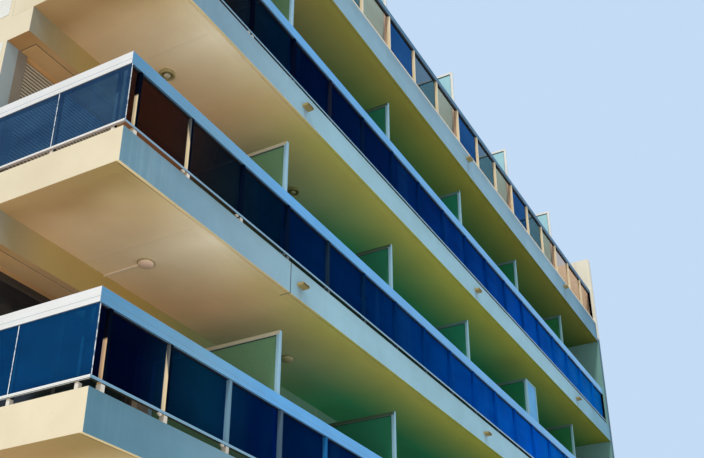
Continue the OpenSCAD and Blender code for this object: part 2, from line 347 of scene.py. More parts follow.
def finishPaint(tree, shader, base, grain, values, height=None):
    # Wears a colour with patches and specks, and sets the roughness and the relief
    for label in ("Patches", "Specks"):
        if label in values:
            base = shaded(tree, base, grain[label], *values[label])
    tree.links.new(base, shader["Base Color"])
    tree.links.new(mapped(tree, grain["Patches"], 0, 1, *values["roughness"]), shader["Roughness"])
    relief(tree, shader, grain["Grain"] if height is None else height, *values["relief"])


speckTone = colour(110, 105, 95)
# Painted light under the balconies: bounce light and shade by position, darker on the upper levels
soffitLightTones = {
    "edge": stops(
        (0.25, 162, 138, 86), (0.7, 214, 192, 146), (1.5, 255, 243, 212), (2.7, 218, 196, 140),
        (4.0, 186, 184, 98), (9.0, 176, 184, 72), (17.5, 122, 134, 24),
    ),
    "deep": stops(
        (0.25, 184, 150, 102), (0.7, 234, 202, 156), (1.5, 255, 232, 190), (2.7, 255, 214, 164),
        (4.2, 176, 190, 146), (6.5, 72, 184, 122), (12.6, 34, 170, 112), (17.5, 20, 142, 82),
    ),
    "upper": colour(212, 206, 190),
    "wander": 0.5,  # how far the bounds between the tones stray along the front
}


def soffitTone(tree):
    # Painted bounce light and shade: warm beige at the corner, olive further on and greener towards the
    # front wall
    depth = mapped(tree, axes(tree)[1], frontY + 0.15, wallY - 0.9)
    edge, deep = (alongFront(tree, soffitLightTones[label], soffitLightTones["wander"]) for label in ("edge", "deep"))
    return mixed(tree, onUpper(tree), mixed(tree, depth, edge, deep), soffitLightTones["upper"], "MULTIPLY")


def belowRail(tree):
    # Distance below the handrail's underside, which is higher on the terrace
    under = mapped(tree, onTerrace(tree), 0.0, 1.0, railUnder, terraceUnder)
    return maths(tree, "SUBTRACT", under, storeyHeightOf(tree))


spoutLow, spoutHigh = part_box("drain_spouts")
spoutWidth = spoutHigh.x - spoutLow.x - (bays - 2) * bayWidth


def spoutStain(tree):
    # A brown run under each spout, which fades downwards
    start = spoutLow.x + spoutWidth / 2 - bayWidth
    along = maths(tree, "FLOORED_MODULO", maths(tree, "SUBTRACT", axes(tree)[0], start), 2 * bayWidth)
    runs = stretchedNoise(tree, (30, 30, 2))
    reach = mapped(tree, runs, 0.3, 0.7, 0.02, 0.11)
    share = maths(tree, "DIVIDE", apart(tree, along, bayWidth), reach)
    across = maths(tree, "SUBTRACT", 1.0, share, clamp=True)
    height = storeyHeightOf(tree)
    return times(tree, across, mapped(tree, height, 0.0, 0.24, 0.35, 1.0), mapped(tree, height, 0.25, 0.2))


# Front tones: painted sky-lit shade, a little darker on the upper levels and by the lowest corner
fasciaTones = {
    "sunny": colour(222, 210, 181),
    "front": stops(
        (0.0, 104, 146, 166), (1.2, 124, 163, 184), (2.5, 146, 186, 206), (4.2, 158, 204, 222),
        (14.0, 156, 206, 226), (17.9, 106, 164, 190),
    ),
    "frontUpper": colour(228, 228, 234),
    "frontLowest": stops((0.3, 208, 230, 234), (1.2, 208, 230, 234), (4.0, 255, 255, 255)),
    "washed": colour(176, 206, 218),
    "dripEdge": colour(224, 206, 160),
    "joint": colour(74, 92, 92),
    "stain": (0.55, colour(120, 98, 60)),
    "topEdge": colour(232, 226, 222),
    "Patches": (0.16, colour(150, 140, 120)),
    "Specks": (0.10, speckTone),
    "roughness": (0.62, 0.8),
    "relief": (0.002, 0.5),
}


def makeFasciaPaint():
    material, tree, shader = newMaterial("fascia render", 0.72)
    facing = placeGroup(tree, facingGroup)
    grain = grainOf(tree, 210.0, 1.3)
    x, y, z = axes(tree)
    upper, lowest, soffit = onUpper(tree), onLowest(tree), soffitTone(tree)
    # Painted sky-lit shade on the front faces
    front = mixed(tree, upper, alongFront(tree, fasciaTones["front"]), fasciaTones["frontUpper"], "MULTIPLY")
    front = mixed(tree, lowest, front, alongFront(tree, fasciaTones["frontLowest"]), "MULTIPLY")
    base = mixed(tree, facing["Front"], fasciaTones["sunny"], front)
    washed = times(tree, streaksOf(tree, 16.0, 0.7), facing["Front"], mapped(tree, lowest, 0, 1, 0.22, 0.06))
    base = mixed(tree, washed, base, fasciaTones["washed"])
    # The drip groove and underside take the soffits' painted bounce light; the front strip is painted lit by
    # the corner
    groove = times(tree, mapped(tree, y, frontY + 0.01, frontY + 0.012), facing["Front"])
    base = mixed(tree, groove, base, soffit)
    fade = maths(tree, "MAXIMUM", mapped(tree, x, leftX + 1.5, leftX + 4.0), upper)
    behindEdge = mapped(tree, y, frontY + 0.03, frontY + 0.034)
    under = mixed(tree, behindEdge, mixed(tree, fade, fasciaTones["dripEdge"], soffit), soffit)
    base = mixed(tree, facing["Under"], base, under)
    joint = times(
        tree, mapped(tree, apart(tree, x, partyX(1)), 0.010, 0.006), opposite(tree, upper),
        mapped(tree, z, levelZ[3] - 0.2, levelZ[3] - 0.3),
    )
    base = mixed(tree, joint, base, fasciaTones["joint"])
    amount, tone = fasciaTones["stain"]
    base = mixed(tree, times(tree, spoutStain(tree), facing["Front"], amount), base, tone)
    # Darker towards the top of the front faces: grime and painted shade under the balustrade
    grimeAndShade = times(
        tree, mapped(tree, storeyHeightOf(tree), 0.27, 0.418, 0.0, 0.5), facing["Front"],
        mapped(tree, grain["Patches"], 0.0, 0.8, 0.5, 1.0),
    )
    base = mixed(tree, grimeAndShade, base, fasciaTones["topEdge"], "MULTIPLY")
    finishPaint(tree, shader, base, grain, fasciaTones)
    return material


# creamFront is painted sky-lit shade on the fronts; lintelUnder painted bounce light under the lintels
wallValues = {
    "cream": colour(226, 214, 186),
    "creamFront": colour(160, 174, 178),
    "creamMark": colour(190, 178, 150),
    "lintelUnder": colour(250, 196, 132),
    "white": colour(226, 228, 222),
    "whiteMark": colour(196, 198, 192),
    "marks": 0.22,
    "Patches": (0.18, colour(168, 160, 142)),
    "Specks": (0.12, speckTone),
    "roughness": (0.66, 0.84),
    "relief": (0.003, 0.6),
}


def makeWallPaint(name, pale, frontTone, mark, underTone=None, terrace=None, inner=None):
    # Painted render for the walls: one tone on the front, another elsewhere; a front tone that differs is
    # painted shade
    material, tree, shader = newMaterial(name, 0.75)
    facing = placeGroup(tree, facingGroup)
    grain = grainOf(tree, 150.0, 0.7)
    x, y, z = axes(tree)
    base = mixed(tree, facing["Front"], pale, toneOf(tree, frontTone))
    # Underside tone: painted bounce light and shade
    if underTone is not None:
        base = mixed(tree, facing["Under"], base, toneOf(tree, underTone))
    if inner is not None:
        # Painted shade on the end wall's face along the balconies
        onBalcony = times(
            tree, facing["Side"], mapped(tree, y, wallY, wallY - 0.01),
            mapped(tree, z, levelZ[1] - 0.5, levelZ[1]),
        )
        base = mixed(tree, onBalcony, base, inner)
    if terrace is not None:
        # Painted sunlight on the end wall above the terrace
        upper = between(tree, levelZ[terraceLevel] + 0.1, levelZ[terraceLevel] + 0.11)
        inside = mapped(tree, x, endX + 0.17, endX + 0.16)
        base = mixed(tree, times(tree, upper, inside), base, terrace)
    base = mixed(tree, times(tree, streaksOf(tree, 7.0, 0.35), wallValues["marks"]), base, mark)
    finishPaint(tree, shader, base, grain, wallValues)
    return material


floorValues = {
    "tile": 0.3,
    "joint": 0.02,
    "clay": colour(176, 128, 98),
    "clayDark": colour(150, 106, 82),
    "mortar": colour(150, 142, 130),
    "seamAt": 1.34,  # a seam in the render, from the left corner
    "seam": (0.2, colour(222, 200, 172)),
    "patches": (0.25, colour(196, 176, 150)),
    "specks": (0.12, colour(120, 112, 96)),
    "ceiling": colour(222, 218, 208),
    "edge": colour(196, 186, 160),
    "edgeFront": colour(160, 174, 178),  # the roof slab's edge, flush with the front wall, in the same painted sky-lit shade
}


def makeSoffitPaint():
    # Paint under the balconies, in painted bounce light and shade, and clay tiles on top of the same slabs
    material, tree, shader = newMaterial("soffit paint", 0.7)
    facing = placeGroup(tree, facingGroup)
    grain = grainOf(tree, 120.0, 0.8)
    place = objectPlace(tree)
    x, y = parts(tree, place)[:2]
    under = shaded(tree, soffitTone(tree), grain["Patches"], *floorValues["patches"])
    seam = mapped(tree, apart(tree, x, leftX + floorValues["seamAt"]), 0.012, 0.003)
    amount, tone = floorValues["seam"]
    under = mixed(tree, times(tree, seam, amount), under, tone)
    under = mixed(tree, mapped(tree, y, wallY - 0.02, wallY), under, floorValues["ceiling"])
    tiling = {
        "Vector": place, "Color1": floorValues["clay"], "Color2": floorValues["clayDark"],
        "Mortar": floorValues["mortar"], "Scale": 1.0 / floorValues["tile"],
        "Mortar Size": floorValues["joint"], "Brick Width": 1.0, "Row Height": 1.0,
    }
    tiles = addNode(tree, "ShaderNodeTexBrick", tiling, offset=0.0).outputs
    base = mixed(tree, facing["Under"], floorValues["edge"], under)
    base = mixed(tree, facing["Top"], base, tiles["Color"])
    base = shaded(tree, base, grain["Specks"], *floorValues["specks"])
    tree.links.new(base, shader["Base Color"])
    joints = times(tree, tiles["Fac"], facing["Top"])
    height = maths(tree, "SUBTRACT", times(tree, grain["Grain"], 0.5), joints)
    trowel = stretchedNoise(tree, (1.2, 3.0, 1.0), 4.0)
    height = maths(tree, "ADD", height, times(tree, trowel, 1.6))
    relief(tree, shader, maths(tree, "ADD", height, seam), 0.003, 0.6)
    return material


# Rail tones: front and terrace are painted sky-lit shade, under and groove painted shade
railTones = {
    "side": colour(226, 227, 226),
    "front": stops((0.0, 82, 148, 192), (1.5, 112, 170, 206), (3.0, 94, 180, 246), (17.0, 118, 192, 250)),
    "rest": colour(214, 220, 224),
    "under": colour(40, 36, 36),
    "groove": colour(146, 168, 184),
    "terrace": colour(34, 106, 142),
    "terraceSide": colour(226, 227, 226),
}
# Painted shade in the gap under the bottom rail, brown by the corner and dark green further on
gapTones = stops(
    (0.2, 150, 104, 74), (1.0, 140, 100, 72), (1.25, 62, 56, 46), (2.3, 40, 52, 44), (4.0, 14, 48, 44),
)
# Bottom rail tones: front is painted sky-lit shade, lowest painted shade in the gap
bottomRailTones = {
    "side": colour(240, 240, 236),
    "front": stops((0.0, 132, 180, 212), (12.0, 170, 210, 228)),
    "rest": colour(60, 66, 64),
    "under": gapTones,
    "groove": gapTones,
    "lowest": colour(24, 50, 42),
    "terrace": colour(250, 240, 220),
    "terraceSide": colour(250, 240, 220),
}
# Divider tones: painted sky-lit shade on the frames; the top bars lit at first, in painted shade further on
frameTones = stops((2.9, 150, 196, 220), (9.0, 136, 186, 204), (15.0, 110, 160, 168))
dividerTones = {
    "side": frameTones,
    "front": frameTones,
    "topBar": stops((2.9, 210, 206, 180), (5.9, 70, 96, 72), (9.0, 90, 132, 128), (15.0, 84, 116, 110)),
    "topBarFrom": 2.22,  # above the underside of its level
    "rest": colour(196, 208, 196),
    "under": colour(120, 130, 120),
    "groove": colour(140, 160, 160),
    "terrace": colour(216, 236, 244),
    "terraceSide": colour(252, 250, 242),
}
lacquerValues = {
    "brushed": colour(150, 158, 168),
    "Patches": (0.12, colour(160, 160, 158)),
    "roughness": (0.32, 0.48),
    "relief": (0.0006, 0.3),
}


def makeLacquer(name, tones):
    # Lacquered aluminium, bright on the sunny side, painted sky-lit shade on the front and painted shade
    # below
    material, tree, shader = newMaterial(name, 0.38, Metallic=0.0)
    facing = placeGroup(tree, facingGroup)
    grain = grainOf(tree, 60.0, 2.2)
    terrace = onTerrace(tree)
    front = mixed(tree, terrace, alongFront(tree, tones["front"]), tones["terrace"])
    base = mixed(tree, facing["Front"], tones["rest"], front)
    side = mixed(tree, terrace, toneOf(tree, tones["side"]), tones["terraceSide"])
    # Painted shade on the top bars' sides under the balconies
    if "topBar" in tones:
        start = tones["topBarFrom"]
        bar = times(tree, mapped(tree, storeyHeightOf(tree), start, start + 0.002), opposite(tree, terrace))
        side = mixed(tree, bar, side, alongFront(tree, tones["topBar"]))
    base = mixed(tree, facing["Side"], base, side)
    # Painted shade: dark at the handrail's underside, the groove tone on other faces that look down
    lip = mapped(tree, belowRail(tree), -0.006, -0.003)
    under = mixed(tree, lip, toneOf(tree, tones["groove"]), toneOf(tree, tones["under"]))
    # Painted shade in the gap, darkest on the lowest level; pale on the open terrace
    if "lowest" in tones:
        under = mixed(tree, onLowest(tree), under, tones["lowest"])
        under = mixed(tree, terrace, under, tones["terrace"])
    base = mixed(tree, facing["Under"], base, under)
    brushed = stretchedNoise(tree, (0.5, 0.5, 260.0), 2.0)
    lines = mapped(tree, brushed, 0.35, 0.75, 0.0, 0.16)
    base = mixed(tree, lines, base, lacquerValues["brushed"], "MULTIPLY")
    finishPaint(tree, shader, base, grain, lacquerValues, brushed)
    return material


postTones = {
    "sunny": colour(244, 224, 184),
    "sunnyCorner": colour(226, 190, 150),  # on the lowest post at the corner
    "deep": stops(
        (1.5, 4, 14, 30), (3.2, 8, 24, 50), (4.2, 30, 50, 70), (5.2, 2, 38, 78), (9.0, 0, 66, 150),
        (13.0, 0, 82, 178), (17.5, 0, 104, 196),
    ),
    "deepLowest": stops(
        (1.6, 4, 14, 30), (1.95, 112, 150, 172), (3.1, 80, 104, 124), (4.1, 34, 110, 172),
        (5.2, 8, 70, 140), (9.0, 0, 66, 150), (17.5, 0, 104, 196),
    ),
    "deepThird": stops((0.0, 255, 190, 196), (12.5, 255, 194, 200), (16.0, 255, 250, 252)),
    "terraceFront": colour(240, 234, 214),
    "rest": colour(120, 116, 110),
    "last": colour(14, 14, 18),
    "Patches": (0.2, colour(150, 140, 130)),
    "roughness": (0.45, 0.6),
    "relief": (0.0006, 0.3),
    "litReach": (1.4, 1.9),  # how far along the front the sun reaches the posts
    "cornerShade": (0.30, colour(10, 12, 24)),  # below the handrail, on the post by the corner
    "wedgeShade": (0.34, colour(104, 108, 108)),  # at the others' front edge, none at the back edge
}


def makePostLacquer():
    # Painted light: sunlit sides by the corner under a painted handrail shadow, painted shade further on
    material, tree, shader = newMaterial("post lacquer", 0.6, Specular_IOR_Level=0.0)
    facing = placeGroup(tree, facingGroup)
    grain = grainOf(tree, 60.0, 2.2)
    x, y, z = axes(tree)
    lowest, terrace = onLowest(tree), onTerrace(tree)
    covered = opposite(tree, terrace)
    others = mapped(tree, x, leftX + 0.5, leftX + 0.6)
    cornerDepth, cornerShade = postTones["cornerShade"]
    wedgeDepth, wedgeShade = postTones["wedgeShade"]
    wedge = mapped(tree, y, dividerLow.y, dividerLow.y - 0.06, 0.0, wedgeDepth)
    depth = addNode(tree, "ShaderNodeMix", {0: others, 2: cornerDepth, 3: wedge}).outputs[0]
    shade = mapped(tree, maths(tree, "SUBTRACT", belowRail(tree), depth), 0.012, -0.012)
    near, far = postTones["litReach"]
    beyond = times(tree, mapped(tree, x, leftX + near, leftX + far), covered)
    third = mapped(tree, z, levelZ[3] - 0.1, levelZ[3])
    deep, deepThird, deepLowest = (
        alongFront(tree, postTones[label]) for label in ("deep", "deepThird", "deepLowest")
    )
    deep = mixed(tree, lowest, mixed(tree, third, deep, deepThird, "MULTIPLY"), deepLowest)
    cornerLowest = times(tree, opposite(tree, others), lowest)
    lit = mixed(tree, cornerLowest, postTones["sunny"], postTones["sunnyCorner"])
    sunny = mixed(tree, times(tree, shade, covered), lit, mixed(tree, others, cornerShade, wedgeShade))
    front = mixed(tree, terrace, deep, postTones["terraceFront"])
    base = mixed(tree, facing["Front"], postTones["rest"], front)
    base = mixed(tree, facing["Side"], base, mixed(tree, beyond, sunny, deep))
    base = mixed(tree, mapped(tree, x, endX - 0.2, endX - 0.1), base, postTones["last"])
    finishPaint(tree, shader, base, grain, postTones)
    return material


simpleValues = {"worn": 0.55, "Specks": (0.2, colour(90, 84, 74)), "reliefStrength": 0.4}


def makeSimplePaint(name, tone, worn, roughness=0.5, bump=0.001, grainScale=90.0, metallic=0.0):
    material, tree, shader = newMaterial(name, roughness, Metallic=metallic)
    grain = grainOf(tree, grainScale, 3.0)
    base = mixed(tree, times(tree, grain["Patches"], simpleValues["worn"]), toneOf(tree, tone), worn)
    values = {
        "Specks": simpleValues["Specks"], "roughness": (roughness - 0.08, roughness + 0.12),
        "relief": (bump, simpleValues["reliefStrength"]),
    }
    finishPaint(tree, shader, base, grain, values)
    return material


# Glass tones: the navy, blue and pink tones are painted sky seen in and through the panes
glassValues = {
    "near": stops((0.7, 88, 58, 52), (1.7, 48, 62, 80), (2.6, 6, 58, 106), (3.6, 0, 46, 88)),
    "nearLowest": stops((0.7, 8, 30, 84), (1.7, 22, 96, 146), (2.6, 4, 60, 140)),
    "far": stops(
        (3.2, 0, 40, 92), (5.6, 0, 56, 124), (8.6, 0, 94, 196), (12.0, 0, 124, 246), (17.6, 0, 150, 240),
    ),
    "third": stops((3.2, 255, 170, 190), (10.0, 255, 196, 210), (17.0, 255, 226, 240)),
    "haze": colour(150, 170, 200),
    "band": colour(30, 86, 124),
    "side": colour(88, 140, 196),
    "sideLowest": colour(36, 126, 198),
    "sunlight": colour(226, 226, 226),
    "ior": 1.012,  # thin panes bend hardly any light
    "nearPanes": 3,
    "clearPanes": (3, 6, 9, 12, 15, 16, 17, 18),  # on the terrace, counted from the corner
    "hazyPanes": (2, 5, 8, 11, 14),
}
white = colour(255, 255, 255)


def letSunThrough(tree):
    # Lamps shine through the panes, a little dimmed
    rays = addNode(tree, "ShaderNodeLightPath").outputs
    clear = addNode(tree, "ShaderNodeBsdfTransparent", {0: glassValues["sunlight"]}).outputs[0]
    glass = tree.nodes["Principled BSDF"].outputs[0]
    mix = addNode(tree, "ShaderNodeMixShader", {0: rays["Is Shadow Ray"], 1: glass, 2: clear}).outputs[0]
    tree.links.new(mix, tree.nodes["Material Output"].inputs[0])


def makeSmokedGlass(name, transmission, front, lowest=None):
    # Smoked glass, brown by the corner; painted sky light makes it navy, then bluer, and blue on the side
    ior = glassValues["ior"]
    material, tree, shader = newMaterial(name, 0.02, IOR=ior, Transmission_Weight=transmission)
    base = alongFront(tree, glassValues[front])
    if lowest is None:
        onThird = between(tree, levelZ[3], levelZ[3] + 0.2)
        third = mixed(tree, onThird, white, alongFront(tree, glassValues["third"]))
        base = mixed(tree, 1.0, base, third, "MULTIPLY")
    else:
        under = between(tree, levelZ[2], levelZ[2] - 0.1)
        base = mixed(tree, under, base, alongFront(tree, glassValues[lowest]))
        side = mixed(tree, under, glassValues["side"], glassValues["sideLowest"])
        base = mixed(tree, placeGroup(tree, facingGroup)["Side"], base, side)
    haze = stretchedNoise(tree, (1.5, 1.5, 4.0))
    base = mixed(tree, mapped(tree, haze, 0.4, 0.75, 0.0, 0.5), base, glassValues["haze"], "MULTIPLY")
    # Painted reflections: paler upright bands
    bands = stretchedNoise(tree, (3.2, 5.0, 0.12), 1.0)
    base = mixed(tree, mapped(tree, bands, 0.54, 0.62, 0.0, 0.16), base, glassValues["band"], "SCREEN")
    tree.links.new(base, shader["Base Color"])
    letSunThrough(tree)
    return material


def makeTintedGlass(name, tone, second, transmission, roughness=0.02, ior=glassValues["ior"]):
    material, tree, shader = newMaterial(name, roughness, IOR=ior, Transmission_Weight=transmission)
    film = stretchedNoise(tree, (1.3, 1.3, 2.6), 4.0)
    tree.links.new(mixed(tree, mapped(tree, film, 0.4, 0.7), tone, second), shader["Base Color"])
    tree.links.new(mapped(tree, film, 0.3, 0.8, roughness, roughness + 0.08), shader["Roughness"])
    if transmission > 0.5:
        letSunThrough(tree)
    return material


obscuredValues = {
    "low": stops(
        (3.1, 112, 162, 124), (6.1, 42, 136, 104), (9.1, 40, 146, 116), (12.1, 32, 130, 88),
        (15.1, 42, 130, 78),
    ),
    "terrace": colour(188, 242, 255),
    "dimple": colour(190, 205, 190),
    "dimples": 70.0,  # to a metre
}


def makeObscuredPane():
    # Hammered obscured glass, green in painted shade under the balconies and pale on the open terrace
    material, tree, shader = newMaterial("obscured pane", 0.35, IOR=1.45, Transmission_Weight=0.12)
    base = mixed(tree, onTerrace(tree), alongFront(tree, obscuredValues["low"]), obscuredValues["terrace"])
    cells = {"Vector": objectPlace(tree), "Scale": obscuredValues["dimples"]}
    dimples = addNode(tree, "ShaderNodeTexVoronoi", cells).outputs["Distance"]
    rims = mapped(tree, dimples, 0.2, 0.75, 0.0, 0.35)
    base = mixed(tree, rims, base, obscuredValues["dimple"], "MULTIPLY")
    tree.links.new(base, shader["Base Color"])
    relief(tree, shader, dimples, 0.002, 0.8)
    return material


beadTones = (colour(120, 140, 160), colour(232, 236, 236))


def makeBead():
    # Pale sealant, broken into short dabs
    material, tree, shader = newMaterial("pale bead", 0.45)
    dabs = stretchedNoise(tree, (20.0, 20.0, 34.0), 2.0)
    tree.links.new(mixed(tree, mapped(tree, dabs, 0.36, 0.5), *beadTones), shader["Base Color"])
    relief(tree, shader, dabs, 0.002, 0.6)
    return material


bracketValues = {
    "tones": stops((1.9, 236, 232, 222), (2.6, 96, 104, 102), (5.0, 28, 50, 54)),
    "Patches": (0.4, colour(206, 196, 178)),
    "roughness": (0.42, 0.62),
    "relief": (0.0006, 0.4),
}


def makeBracketPaint():
    # Painted light and shade: brackets pale in the sun by the corner, grey-green and then dark in shade
    # further on
    material, tree, shader = newMaterial("bracket paint", 0.5)
    base = alongFront(tree, bracketValues["tones"])
    finishPaint(tree, shader, base, grainOf(tree, 90.0, 3.0), bracketValues)
    return material


stoneTones = (colour(128, 124, 116), colour(178, 172, 160))
stoneWear = (0.4, colour(120, 116, 104))


def makeGravelPaint():
    # Loose stones on the roof slab's top, and its painted edges
    material, tree, shader = newMaterial("roof gravel", 0.85)
    stones = addNode(tree, "ShaderNodeTexVoronoi", {"Vector": objectPlace(tree), "Scale": 30.0}).outputs
    shade = mixed(tree, parts(tree, stones["Color"])[0], *stoneTones)
    shade = shaded(tree, shade, grainOf(tree, 90.0, 0.6)["Patches"], *stoneWear)
    facing = placeGroup(tree, facingGroup)
    # The front edge is in painted sky-lit shade
    edge = mixed(tree, facing["Front"], floorValues["edge"], floorValues["edgeFront"])
    tree.links.new(mixed(tree, facing["Top"], edge, shade), shader["Base Color"])
    relief(tree, shader, stones["Distance"], 0.012, 0.7)
    return material


# Painted light on the beams: front face in shade, grey to ochre to green, underside warm bounce light
beamFront = stops(
    (0.05, 150, 148, 132), (0.3, 163, 147, 107), (0.5, 178, 156, 110), (0.8, 196, 168, 104),
    (2.2, 198, 164, 86), (3.2, 154, 152, 92), (4.2, 146, 166, 124), (6.0, 104, 156, 132),
)
beamUnder = stops((0.05, 165, 122, 72), (0.3, 190, 150, 98), (0.6, 222, 182, 128), (1.4, 250, 208, 152))
# Lamp tones: painted bounce light, warm by the corner and olive-green further on, as on the soffits
lampTones = {
    "ring": stops((2.0, 176, 162, 112), (3.6, 112, 118, 66), (17.0, 90, 110, 60)),
    "dome": stops((2.0, 240, 210, 184), (3.6, 126, 142, 84), (8.0, 110, 150, 110)),
    "bulb": stops((2.0, 206, 200, 172), (3.6, 120, 132, 84), (8.0, 110, 140, 100)),
}
wallTones = ("cream", "creamFront", "creamMark", "white", "whiteMark")
cream, creamFront, creamMark, wallWhite, whiteMark = (wallValues[name] for name in wallTones)

fasciaPaint = makeFasciaPaint()
soffitPaint = makeSoffitPaint()
# Front tones that differ from the rest are painted shade; underside tones painted bounce light and shade
creamWall = makeWallPaint("cream wall render", cream, creamFront, creamMark)
lintelPaint = makeWallPaint("lintel render", cream, creamFront, creamMark, wallValues["lintelUnder"])
beamPaint = makeWallPaint("beam render", cream, beamFront, colour(190, 176, 134), beamUnder)
pierPaint = makeWallPaint("pier render", colour(196, 186, 160), colour(142, 132, 118), colour(120, 116, 104))
# End wall: front edge and balcony face in painted shade, top on the terrace in painted sunlight
endWallPaint = makeWallPaint(
    "end wall render", cream, colour(76, 116, 130), colour(150, 146, 128),
    terrace=colour(250, 244, 224), inner=colour(116, 164, 160),
)
whitePaint = makeWallPaint("white wall render", wallWhite, wallWhite, whiteMark)
railLacquer = makeLacquer("rail lacquer", railTones)
bottomRailLacquer = makeLacquer("bottom rail lacquer", bottomRailTones)
dividerLacquer = makeLacquer("divider lacquer", dividerTones)
postLacquer = makePostLacquer()
frameLacquer = makeSimplePaint("window frame lacquer", colour(66, 58, 50), colour(50, 44, 38), 0.4, 0.0004)
slatLacquer = makeSimplePaint("slat lacquer", colour(216, 206, 182), colour(190, 180, 156), 0.45, 0.0004)
copingMetal = makeSimplePaint(
    "coping metal", colour(176, 180, 182), colour(150, 154, 156), 0.4, 0.0005, 40.0, 0.5
)
spoutPaint = makeSimplePaint("spout paint", colour(160, 142, 88), colour(122, 106, 62), 0.7, 0.002)
bracketPaint = makeBracketPaint()
boltMetal = makeSimplePaint("bolt metal", colour(150, 140, 122), colour(112, 88, 62), 0.4, 0.0005, 60.0, 0.6)
darkGasket = makeSimplePaint("dark gasket", colour(26, 26, 30), colour(38, 38, 42), 0.75, 0.0005)
darkLink = makeSimplePaint("slat link", colour(70, 64, 54), colour(50, 46, 40), 0.6, 0.0004)
paleBead = makeBead()
# The cover panels take the beams' underside tones: painted bounce light
coverPaint = makeSimplePaint("cover panel paint", beamUnder, colour(234, 188, 130), 0.6)
lampRing = makeSimplePaint("lamp ring", lampTones["ring"], colour(140, 130, 90))
lampDome = makeSimplePaint("lamp dome", lampTones["dome"], colour(222, 190, 162), 0.35, 0.0004)
lampBulb = makeSimplePaint("lamp bulb", lampTones["bulb"], colour(176, 168, 138), 0.3, 0.0004)
trunkingPlastic = makeSimplePaint(
    "trunking plastic", colour(250, 232, 210), colour(232, 212, 186), 0.5, 0.0005
)
screedPaint = makeSimplePaint("screed", colour(150, 146, 138), colour(128, 124, 116), 0.85, 0.003)
gravelPaint = makeGravelPaint()
smokedGlass = makeSmokedGlass("smoked glass", 0.85, "near", "nearLowest")
farGlass = makeSmokedGlass("smoked glass further on", 0.5, "far")
# Terrace panes: navy is painted sky, clear and hazy ones stand where the dividers show through
terraceGlass = makeTintedGlass("terrace glass", colour(36, 84, 132), colour(48, 96, 144), 0.92)
clearGlass = makeTintedGlass("clear terrace glass", colour(228, 202, 184), colour(218, 192, 172), 0.96)
hazyGlass = makeTintedGlass("hazy terrace glass", colour(116, 136, 148), colour(108, 128, 140), 0.96)
windowGlass = makeTintedGlass("window glass", colour(16, 22, 30), colour(30, 40, 52), 0.2, 0.05, 1.45)
obscuredPane = makeObscuredPane()
print("materials made:", len(bpy.data.materials))


# Mesh helpers
hair = 0.0005  # gap between faces that would otherwise lie in one plane


def addBox(shape, low, high):
    (x0, y0, z0), (x1, y1, z1) = low, high
    corners = [shape.verts.new((x, y, z)) for x in (x0, x1) for y in (y0, y1) for z in (z0, z1)]
    for face in ((0, 1, 3, 2), (4, 6, 7, 5), (0, 4, 5, 1), (2, 3, 7, 6), (0, 2, 6, 4), (1, 5, 7, 3)):
        shape.faces.new([corners[index] for index in face])


def addBothSides(shape, near, far, low, high):
    # The same box to the left and right of X = 0, between two distances from it
    for side in (-1, 1):
        start, end = sorted((side * near, side * far))
        addBox(shape, (start, *low), (end, *high))


def addFrame(shape, low, high, side, bottom, top):
    # Two upright sides, with a bottom and a top bar between them
    (x0, y0, z0), (x1, y1, z1) = low, high
    addBox(shape, low, (x0 + side, y1, z1))
    addBox(shape, (x1 - side, y0, z0), high)
    addBox(shape, (x0 + side, y0, z0), (x1 - side, y1, z0 + bottom))
    addBox(shape, (x0 + side, y0, z1 - top), (x1 - side, y1, z1))


def addLoft(shape, rings):
    # Joins rings of as many points each, and closes both ends
    made = [[shape.verts.new(point) for point in ring] for ring in rings]
    count = len(made[0])
    for start, end in zip(made, made[1:]):
        for index in range(count):
            following = (index + 1) % count
            shape.faces.new((start[index], start[following], end[following], end[index]))
    shape.faces.new(made[0])
    shape.faces.new(list(reversed(made[-1])))


def toMesh(shape, bevel=0.0, segments=2, kept=None):
    # Softens the sharp edges, apart from those to be kept
    bmesh.ops.recalc_face_normals(shape, faces=shape.faces[:])
    if bevel:
        sharp = [edge for edge in shape.edges if edge.is_manifold and edge.calc_face_angle() > 0.5]
        if kept is not None:
            sharp = [edge for edge in sharp if not kept(edge)]
        bmesh.ops.bevel(
            shape, geom=sharp, offset=bevel, segments=segments, profile=0.6, affect="EDGES",
            clamp_overlap=True,
        )
    mesh = bpy.data.meshes.new("part")
    shape.to_mesh(mesh)
    shape.free()
    return mesh


def newObject(name, content):
    made = bpy.data.objects.new(name, content)
    scene.collection.objects.link(made)
    return made


def dress(name, mesh, material, slot, *replaced):
    mesh.name = name
    piece = newObject(name, mesh)
    mesh.materials.clear()
    mesh.materials.append(material)
    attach(piece, "root")
    if replaced:
        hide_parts(*replaced)


def bakedMesh(holder):
    # The plain mesh of an object with its modifiers applied; the object goes
    bpy.context.view_layer.update()
    evaluated = holder.evaluated_get(bpy.context.evaluated_depsgraph_get())
    mesh = bpy.data.meshes.new_from_object(evaluated)
    holder.modifiers.clear()
    bpy.data.objects.remove(holder)
    return mesh


# Geometry Nodes trees for what repeats


def runTree(tree, mesh, values):
    holder = newObject("holder", mesh)
    modifier = holder.modifiers.new("tree", "NODES")
    modifier.node_group = tree
    sockets = tree.interface.items_tree
    identifiers = {item.name: item.identifier for item in sockets if item.in_out == "INPUT"}
    for label, value in values.items():
        modifier[identifiers[label]] = value
    return bakedMesh(holder)


def pointMesh(places):
    mesh = bpy.data.meshes.new("points")
    mesh.from_pydata([tuple(place) for place in places], [], [])
    return mesh


def geometryTree(name, **kinds):
    # A tree with an input of each kind that is named
    kinds = {"Geometry": "Geometry", "Finish": "Material", **kinds}
    inputs = {label.replace("_", " "): ("NodeSocket" + kind, None) for label, kind in kinds.items()}
    return newTree(name, "GeometryNodeTree", inputs, {"Geometry": "NodeSocketGeometry"})


